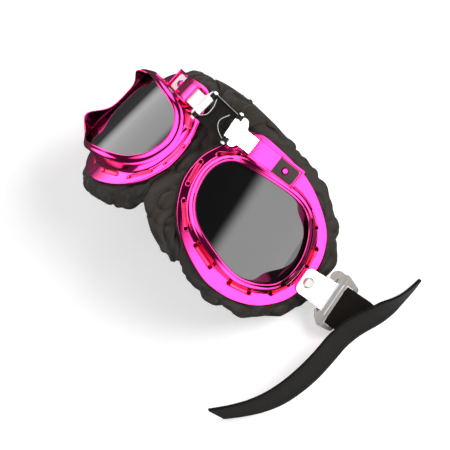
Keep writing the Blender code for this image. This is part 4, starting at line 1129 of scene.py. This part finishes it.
@dataclass
class NoseCushion:
    """The wide cloth that joins the two cushion rings under the link."""

    right: Eyecup
    left: Eyecup
    thick: float = 4.0 * MM
    columns: int = 97
    rows: int = 72
    curl: float = 3.0 * MM
    curl_share: float = 0.07
    pull: float = 0.42
    slant: float = 0.25
    steps: int = 720
    ahead: float = 4.0 * MM
    beyond: float = 6.0 * MM

    FOLDS = ((42.0, 5, 3.0 * MM), (90.0, 6, 1.6 * MM))
    ANCHORS = {
        Side.LEFT: (
            (104.0, 6.2, 4.6), (112.0, 6.0, 3.2), (121.0, 4.2, 2.8), (131.0, 1.0, 3.2), (143.0, -1.2, 3.4),
            (154.0, -1.6, 3.4), (165.0, -1.6, 3.4), (176.0, -1.6, 3.4), (187.0, -1.4, 3.4),
            (197.0, -1.0, 3.4), (206.0, -0.4, 3.4), (214.0, 0.8, 3.6),
        ),
        Side.RIGHT: (
            (104.0, 6.2, 4.6), (112.0, 6.0, 3.2), (121.0, 4.2, 2.8), (131.0, 1.0, 2.7), (145.0, -1.2, 2.7),
            (160.0, -1.6, 2.7), (176.0, -1.6, 2.7), (192.0, -1.6, 2.7), (208.0, -0.8, 2.7),
            (220.0, 1.5, 2.8), (230.0, 4.5, 3.0), (238.0, 6.0, 3.4),
        ),
    }

    def anchor(self, cup: Eyecup) -> tuple[np.ndarray, np.ndarray]:
        """Return the line that the cloth starts from beside an eyecup, and the way it leaves it.

        Args:
            cup: The eyecup.

        Returns:
            The line's points, and the direction at each.
        """
        table = Workbench.curve(np.array(self.ANCHORS[cup.side]) * (1.0, MM, MM), FINE_STEPS)
        table = table[np.round(np.linspace(0, len(table) - 1, self.rows)).astype(int)]
        turns = np.radians(table[:, 0])
        flange = Outline(cup.FLANGE_SHARES, cup.flange_width, cup.flange_height, self.steps)
        picks = np.round(turns / (2 * math.pi) * self.steps).astype(int) % self.steps
        xy = flange.points[picks] + flange.normals[picks] * table[:, 1:2]
        local = np.column_stack([xy, -cup.wrap(xy[:, 0], cup.flange_radii) - table[:, 2]])
        count = len(picks)
        way = np.column_stack([np.full(count, -1.0), flange.normals[picks, 1] * self.slant, np.zeros(count)])
        return cup.axes.out(local), cup.axes.out(way) - cup.axes.origin

    def build(self, material: bpy.types.Material) -> list[bpy.types.Object]:
        """Shape the cloth over the nose in two halves that meet at the middle of the link.

        Args:
            material: The cloth.

        Returns:
            The two halves.
        """
        start, leave = self.anchor(self.left)
        end, arrive = self.anchor(self.right)
        span = np.linalg.norm(end - start, axis=1)[:, None]
        t = np.linspace(0.0, 1.0, self.columns)[:, None, None]
        pull = span * self.pull
        one, two = start + leave * pull, end + arrive * pull
        points = start * (1 - t) ** 3 + one * 3 * t * (1 - t) ** 2 + two * 3 * t ** 2 * (1 - t) + end * t ** 3
        points = points.transpose(1, 0, 2)
        along = np.linspace(0.0, 1.0, self.rows)[:, None]
        curled = np.exp(-(along / self.curl_share) ** 2) + np.exp(-((1 - along) / self.curl_share) ** 2)
        points[..., 2] -= curled * self.curl
        halves = []
        middle = self.columns // 2
        for side, part in ((Side.LEFT, points[:, :middle + 1]), (Side.RIGHT, points[:, middle:])):
            body = Workbench.lofted(part, False, False)
            if sum(face.normal.z for face in body.faces) < 0.0:
                bmesh.ops.reverse_faces(body, faces=body.faces)
            obj = Workbench.keep("nose_cushion_" + side.label, body, material)
            self.fold(obj)
            wall = obj.modifiers.new("wadding", "SOLIDIFY")
            wall.thickness = self.thick
            wall.offset = -1.0
            wall.use_even_offset = False
            Workbench.applied(obj)
            self.finish(obj, side)
            halves.append(obj)
        return halves

    def fold(self, obj: bpy.types.Object) -> None:
        """Draw the long creases that run from the link down between the eyecups.

        Args:
            obj: A half, before it gets its thickness.
        """
        points = Workbench.positions(obj)
        for scale, sharpness, deep in self.FOLDS:
            points[:, 2] -= deep * Workbench.creases(obj, scale, sharpness)
        Workbench.place(obj, points)

    def finish(self, obj: bpy.types.Object, side: Side) -> None:
        """Bake a half's placement into its mesh, and hide the frame's nose pad once the right half is made.

        Args:
            obj: The half.
            side: Which half it is.
        """
        hinge = Axes.joint("fold_" + side.label)[0]
        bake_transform(obj)
        if side is Side.RIGHT:
            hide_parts("nose_pad")


@dataclass
class Strap:
    """Elastic webbing looped round a buckle's outer bar, its tails running along the table."""

    side: Side
    width: float = 20.0 * MM
    thick: float = 1.5 * MM
    play: float = 0.3 * MM
    shift: float = -1.3 * MM
    bar: float = 8.6 * MM
    end: float = 11.0 * MM
    bar_width: float = 2.4 * MM
    buckle: float = 1.4 * MM
    columns: int = 24

    RIM_SLOPE = 36.9 / 75.0
    SWINGS = {Side.RIGHT: 25.0, Side.LEFT: -118.0}
    FRAY = (-5.0 * MM, 8.0 * MM)
    TUFT, TUFT_FROM = 1.5 * MM, 0.8
    WRAP = (0.2, 7)
    THREADS = (31.0, 67.0, 1.0)
    CORD = (0.72, 0.06, 0.25)
    EDGE = (8, 0.35)
    FEET = (
        (-0.97, -3.71, 92), (-0.57, -3.37, 93), (-0.21, -3.00, 94), (0.08, -2.59, 95), (0.28, -2.14, 95),
        (0.42, -1.68, 95), (0.50, -1.20, 94), (0.56, -0.72, 94), (0.62, -0.49, 94), (0.70, -0.27, 95),
        (0.81, -0.05, 95), (0.93, 0.17, 94), (1.02, 0.38, 92), (1.09, 0.61, 89), (1.13, 0.85, 81),
        (1.16, 1.08, 75), (1.18, 1.32, 71), (1.19, 1.56, 68),
    )
    LOOP_UPPER = ((0.68, -0.09, 0.11), (0.55, -0.03, 0.11), (0.43, 0.0, 0.11), (0.33, 0.0, 0.12))
    LOOP_LOWER = ((0.25, 0.0, 0.0), (0.43, 0.0, 0.0), (0.55, -0.03, 0.0), (0.68, -0.09, 0.0))
    TUCKED_LOWER = ((0.62, 0.0, 0.0), (0.5, 0.0, 0.0), (0.4, 0.0, 0.03), (0.3, 0.0, 0.1))
    TUCKED_UPPER = ((0.35, 0.0, 0.21), (0.45, 0.0, 0.14), (0.53, 0.0, 0.11))

    def __post_init__(self) -> None:
        """Find the fold round the bar and the directions that the webbing is laid out along."""
        axes = self.rod()
        self.across, self.up = axes.y, np.array((0.0, 0.0, 1.0))
        self.fold = axes.out(self.loop())

    def rod(self) -> Axes:
        """Return the buckle's axes, x from its rod to the strap's bar.

        Returns:
            The axes, in the frame's metres.
        """
        cup = Axes.eyecup(self.side)
        turn = math.atan(self.RIM_SLOPE) - math.radians(self.SWINGS[self.side])
        return cup.turned(turn, Axes.joint("buckle_swing_" + self.side.label)[0])

    def loop(self) -> np.ndarray:
        """Return the loop's middle line on the buckle's axes, from the upper tail to the lower.

        Returns:
            The line's points, in metres.
        """
        reach = self.buckle / 2 + self.play + self.thick / 2
        back, count = self.WRAP
        centre, past = self.bar - self.bar_width * back, self.end + self.thick
        turns = np.linspace(math.pi / 2, 3 * math.pi / 2, count)
        line = [(past, reach), (self.bar + self.play, reach)]
        line += [(centre + reach * math.cos(t), reach * math.sin(t)) for t in turns]
        line += [(self.bar + self.play, -reach), (past, -reach)]
        return np.array([(x, self.shift, z) for x, z in line])

    def spot(self, shares: np.ndarray, height: np.ndarray | float) -> np.ndarray:
        """Return points by their shares away from the bar and along it, at a height.

        Args:
            shares: Rows of shares of the webbing's width, away from the bar and along it.
            height: The height of each row.

        Returns:
            The points in the frame.
        """
        out = np.cross(self.across, self.up)
        points = self.fold.mean(0) + (shares[:, :1] * out + shares[:, 1:2] * self.across) * self.width
        points[:, 2] = height
        return points

    def sideways(self, line: np.ndarray) -> np.ndarray:
        """Return the level direction across a line at each of its points.

        Args:
            line: The line's points.

        Returns:
            A level unit vector for each point.
        """
        ahead = np.concatenate([line[1:2] - line[:1], line[2:] - line[:-2], line[-1:] - line[-2:-1]])
        flat = np.cross(ahead, self.up)
        return flat / np.maximum(np.linalg.norm(flat, axis=1), 1e-9)[:, None]

    def folded(self) -> tuple[np.ndarray, np.ndarray]:
        """Return the middle line and half-widths of the piece folded round the bar.

        Returns:
            The line's points, and the vector from the line to the edge at each.
        """
        right = self.side is Side.RIGHT
        ends = []
        for layer in (self.LOOP_UPPER, self.LOOP_LOWER) if right else (self.TUCKED_LOWER, self.TUCKED_UPPER):
            table = np.array(layer)
            ends.append(self.spot(table, self.play + self.thick / 2 + table[:, 2] * self.width))
        line = np.concatenate([ends[0], self.fold, ends[1]])
        widths = self.sideways(line)
        widths *= np.sign(widths @ self.across)[:, None]
        widths[len(ends[0]):len(line) - len(ends[1])] = self.across
        return line, widths * self.width / 2

    def standing(self) -> tuple[np.ndarray, np.ndarray]:
        """Return the middle line and half-widths of the band that stands on its edge.

        Returns:
            The line's points, and the vector from the line to the edge at each.
        """
        table = np.array(self.FEET)
        lean = np.radians(table[:, 2:])
        foot = self.spot(table, self.play)
        widths = self.sideways(foot) * np.cos(lean) + self.up * np.sin(lean)
        foot[:, 2] += np.abs(np.cos(lean[:, 0])) * self.thick / 2
        return foot + widths * self.width / 2, widths * self.width / 2

    def build(self, finish: WebbingFinish) -> list[bpy.types.Object]:
        """Shape the webbing at this buckle, each piece with its edge cords.

        Args:
            finish: The webbing's finish.

        Returns:
            The pieces, riding on the buckle.
        """
        label = self.side.label
        if self.side is Side.LEFT:
            return [self.woven("webbing_left", self.folded(), "strap_left", finish)]
        return [self.woven("webbing_fold_" + label, self.folded(), "strap_loop_right", finish),
                self.woven("webbing_" + label, self.standing(), "strap_right", finish, self.TUFT)]

    def woven(self, name: str, route: tuple[np.ndarray, np.ndarray], node: str, finish: WebbingFinish,
              frayed: float = 0.0) -> bpy.types.Object:
        """Weave one piece along a route, with a seam's loose threads standing out of its upper edge.

        Args:
            name: The piece's name.
            route: The middle line and the vectors from it to the edge.
            node: The node that the piece replaces.
            finish: The webbing's finish.
            frayed: How far the seam's loose threads stand out.

        Returns:
            The piece, riding on the buckle.
        """
        line, widths = route
        fine, across = Workbench.curve(line, FINE_STEPS), Workbench.curve(widths, FINE_STEPS)
        across *= (self.width / 2 / np.linalg.norm(across, axis=1))[:, None]
        face = unit(np.cross(across, np.gradient(fine, axis=0)))
        length = float(np.linalg.norm(np.diff(fine, axis=0), axis=1).sum())
        shares = np.linspace(-1.0, 1.0, self.columns + 1)
        (cord, spread, swell), (power, thinned) = self.CORD, self.EDGE
        rib = np.exp(-((shares - cord) / spread) ** 2)
        half = self.thick / 2 * (1 - thinned * np.abs(shares) ** power + swell * rib)
        shares = np.concatenate([shares, shares[::-1]])
        half = np.concatenate([half, -half])
        ring = fine[:, None] + across[:, None] * shares[None, :, None] + face[:, None] * half[None, :, None]
        run = (ring[:, :, 1] - self.FRAY[0]) / (self.FRAY[1] - self.FRAY[0])
        coarse, fine_threads, shift = self.THREADS
        tuft = 0.5 + 0.5 * np.sin(run * coarse) * np.sin(run * fine_threads + shift)
        tuft *= np.clip(4 * run * (1 - run), 0, 1)
        top = step(shares, self.TUFT_FROM, 1.0)[None]
        ring[:, :, 2] += np.where(np.abs(run - 0.5) < 0.5, tuft, 0.0) * top * frayed
        sized = replace(finish, size=(self.width * 2, length))
        obj = Workbench.keep(name, Workbench.capped(Workbench.lofted(ring, True, False)), sized.make())
        points = Workbench.positions(obj)
        points[:, 2] = np.maximum(points[:, 2], TABLE_GAP)
        Workbench.place(obj, points)
        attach(obj, "buckle_" + self.side.label)
        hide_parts(node)
        LOG.info("%s: %.1f mm long", name, length / MM)
        return obj


class Hardware:
    """The carried-over metal and plastic nodes."""

    SLOTS = {
        "bridge_link": "lacquer", "hinge_pin": "chrome", "bridge_plate_right": "tab",
        "bridge_plate": "chrome", "stop_rivet": "plating", "lens_gasket": "rubber",
        "retainer_ring": "plastic", "strap_bracket": "chrome", "bracket_rivet": "trim", "buckle": "satin",
    }

    def __init__(self, materials: dict[str, bpy.types.Material]) -> None:
        """Keep the materials."""
        self.materials = materials

    def dress(self) -> None:
        """Give each carried-over node its finish."""
        for name, obj in frame["nodes"].items():
            key = next((k for k in self.SLOTS if name.startswith(k)), None)
            if key is None:
                continue
            obj.data.materials.clear()
            obj.data.materials.append(self.materials[self.SLOTS[key]])
            LOG.info("dressed %s", name)


@dataclass
class LinkTrim:
    """Polished edges of the link: the rims of its two windows and its upper edge."""

    radius: float = 0.17 * MM
    rise: float = 0.9 * MM
    sides: int = 8
    pieces: int = 10

    LINES = (
        ((-6.1, 6.0), (-4.8, 2.1), (-5.1, -2.3), (-8.1, -5.1)),
        ((4.7, 4.1), (2.3, -0.6), (4.6, -4.3), (10.7, -7.1)),
        ((-10.3, 7.8), (-1.0, 7.2), (9.0, 6.6)), ((-9.4, 7.2), (-9.7, 0.0), (-10.0, -6.9)),
        ((9.0, 6.2), (9.4, -0.5), (9.8, -7.2)),
    )

    def build(self, material: bpy.types.Material) -> bpy.types.Object:
        """Draw the edges as fine rounded wires on the link's face.

        Args:
            material: The polished finish.

        Returns:
            The wires as one piece, riding on the link.
        """
        middle = (Axes.joint("fold_right")[0] + Axes.joint("fold_left")[0]) / 2
        up = np.array((0.0, 0.0, 1.0))
        wires = []
        for line in self.LINES:
            flat = np.array(line) * MM
            raised = np.column_stack([flat, np.full(len(flat), self.rise)]) + middle
            path = Workbench.curve(raised, self.pieces)
            side = np.cross(unit(np.gradient(path, axis=0)), up)[:, None]
            turns = np.linspace(0.0, 2 * math.pi, self.sides, endpoint=False)[None, :, None]
            ring = path[:, None] + self.radius * (side * np.cos(turns) + up * np.sin(turns))
            wires.append(Workbench.capped(Workbench.lofted(ring, True, False)))
        body = Workbench.joined(wires)
        obj = Workbench.keep("link_trim", body, material)
        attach(obj, "link")
        return obj


@dataclass
class Studio:
    """Floor, light and camera."""

    field: float = 207.0 * MM
    distance: float = 0.8
    aim: tuple[float, float, float] = (-9.5 * MM, -8.1 * MM, 0.0)
    sensor: float = 36.0
    box: float = 5.5
    ambient: float = 0.38
    lamp_size: tuple[float, float] = (0.5, 0.4)
    lamp_energy: float = 13.0
    lamp_distance: float = 0.9
    clip: float = 10 * MM
    floor_size: float = 3.0
    floor_drop: float = 0.1 * MM

    ROLL = (0.829, 0.559)
    LAMP_WAY = (0.35, 0.7)
    MAIN_NOSE, MAIN_FRONT = (-0.40, -0.12), (-0.1, 0.15)
    SIDE_LEFT, SIDE_UP = (0.51, 0.64), (-0.02, 0.28)
    SKY = (-0.2, 1.0, 0.16, 0.09)
    CARD_EDGE = (0.05, 0.25)
    FLOOR_PALE, FLOOR_DARK = (0.62, 0.62, 0.62), (0.02, 0.02, 0.02)
    FLOOR_ROUGH, FLOOR_GRAIN, FLOOR_MOTTLE = 0.9, 30.0, 0.05
    FLOOR_GLOW, CARD = 0.55, 3.5

    def camera(self) -> None:
        """Place the camera square to the right eyecup, as in the photograph."""
        cup = Axes.eyecup(Side.RIGHT)
        cos, sin = self.ROLL
        right, up = cos * cup.x + sin * cup.y, -sin * cup.x + cos * cup.y
        target = cup.out(np.array(self.aim)[None])[0]
        data = bpy.data.cameras.new("camera")
        data.sensor_width = self.sensor
        data.lens = self.sensor * self.distance / self.field
        data.clip_start = self.clip
        obj = bpy.data.objects.new("camera", data)
        bpy.context.scene.collection.objects.link(obj)
        basis = np.stack([right, up, np.cross(right, up)], 1)
        matrix = np.eye(4)
        matrix[:3, :3] = basis
        matrix[:3, 3] = target + basis[:, 2] * self.distance
        obj.matrix_world = Matrix(matrix.tolist())
        bpy.context.scene.camera = obj

    def floor(self) -> None:
        """Lay a pale floor that keeps the shadow and shows white."""
        body = bmesh.new()
        bmesh.ops.create_grid(body, x_segments=4, y_segments=4, size=self.floor_size)
        bmesh.ops.translate(body, verts=body.verts, vec=(0.0, 0.0, -self.floor_drop))
        material = bpy.data.materials.new("studio_floor")
        material.use_nodes = True
        tree = NodeTree(material.node_tree)
        shader = material.node_tree.nodes["Principled BSDF"]
        place = tree.add("TexCoord").outputs["Object"]
        shader.inputs["Roughness"].default_value = self.FLOOR_ROUGH
        shader.inputs["Emission Color"].default_value = PALE
        path = tree.add("LightPath").outputs
        seen = tree.math("MAXIMUM", path["Is Camera Ray"], path["Is Transmission Ray"])
        mottle = tree.noise(place, self.FLOOR_GRAIN)
        shade = tree.math("MULTIPLY_ADD", mottle, self.FLOOR_MOTTLE, path["Is Glossy Ray"])
        card = tree.span(tree.add("SeparateXYZ", Vector=place).outputs["X"], *self.CARD_EDGE, 0.0, self.CARD)
        tree.feed(shader.inputs["Base Color"], tree.blend(shade, self.FLOOR_PALE, self.FLOOR_DARK))
        mirrored = tree.math("MULTIPLY", path["Is Glossy Ray"], card)
        tree.feed(shader.inputs["Emission Strength"],
                  tree.math("MULTIPLY_ADD", seen, self.FLOOR_GLOW, mirrored))
        floor = Workbench.keep("floor", body, material)

    def world(self) -> None:
        """Light the goggles evenly, with soft boxes for the metal and the lenses to mirror."""
        world = bpy.data.worlds.new("studio")
        bpy.context.scene.world = world
        world.use_nodes = True
        tree = NodeTree(world.node_tree)
        ground = world.node_tree.nodes["Background"]
        direction = tree.add("TexCoord").outputs["Generated"]
        cup = Axes.eyecup(Side.RIGHT)

        def lobe(way: np.ndarray | tuple, low: float, high: float) -> bpy.types.NodeSocket:
            """Return a soft edge across a direction, from dark at low to light at high."""
            return tree.span(tree.towards(direction, way), low, high, 0.0, 1.0)

        main = tree.math("MULTIPLY", lobe(cup.x, *self.MAIN_NOSE), lobe(cup.z, *self.MAIN_FRONT))
        side = tree.math("MULTIPLY", lobe((-1.0, 0.0, 0.0), *self.SIDE_LEFT),
                         lobe((0.0, 0.0, 1.0), *self.SIDE_UP))
        base = tree.span(tree.add("SeparateXYZ", Vector=direction).outputs["Z"], *self.SKY)
        boxes = tree.math("MULTIPLY_ADD", tree.math("MAXIMUM", main, side), self.box, base)
        path = tree.add("LightPath").outputs
        seen, glossy = path["Is Camera Ray"], path["Is Glossy Ray"]
        plain = tree.math("ADD", tree.math("MULTIPLY", tree.math("SUBTRACT", 1.0, glossy), self.ambient),
                          tree.math("MULTIPLY", glossy, boxes))
        strength = tree.math("ADD", tree.math("MULTIPLY", plain, tree.math("SUBTRACT", 1.0, seen)), seen)
        tree.feed(ground.inputs["Strength"], strength)
        ground.inputs["Color"].default_value = PALE

    def lamp(self) -> None:
        """Hang one large soft lamp over the eyecups."""
        cup = Axes.eyecup(Side.RIGHT)
        data = bpy.data.lights.new("key", "AREA")
        data.shape = "RECTANGLE"
        data.size, data.size_y = self.lamp_size
        data.energy = self.lamp_energy
        obj = bpy.data.objects.new("key", data)
        bpy.context.scene.collection.objects.link(obj)
        way = unit(cup.x * self.LAMP_WAY[0] + cup.y * self.LAMP_WAY[1] + cup.z)
        obj.location = way * self.lamp_distance
        obj.rotation_euler = Vector(way).to_track_quat("Z", "Y").to_euler()
        obj.visible_glossy = False

    def build(self) -> None:
        """Set up the studio."""
        self.camera()
        self.floor()
        self.world()
        self.lamp()
        bpy.context.scene.view_settings.view_transform = "Standard"


def main() -> None:
    """Build and dress the goggles piece by piece."""
    logging.basicConfig(level=logging.INFO, format="%(name)s: %(message)s")
    Studio().build()
    finishes = Finishes()
    materials = {key: getattr(finishes, key).make() for key in (
        "plating", "lens", "chrome", "tab", "trim", "lacquer", "satin", "rubber", "plastic", "cloth")}
    Hardware(materials).dress()
    cups = {}
    for side in Side:
        cup = cups[side] = Eyecup(side)
        LOG.info("made %s", cup.moulding(materials["plating"]).name)
        LOG.info("made %s", cup.glazing(materials["lens"]).name)
        LOG.info("made %s", PlateChannel(cup).build(materials["plating"]).name)
        LOG.info("made %s", Padding(cup).build(materials["cloth"]).name)
        for piece in Strap(side).build(finishes.webbing):
            LOG.info("made %s", piece.name)
    LOG.info("made %s", LinkTrim().build(materials["trim"]).name)
    for half in NoseCushion(cups[Side.RIGHT], cups[Side.LEFT]).build(materials["cloth"]):
        LOG.info("made %s", half.name)
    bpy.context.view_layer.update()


if __name__ == "__main__":
    main()
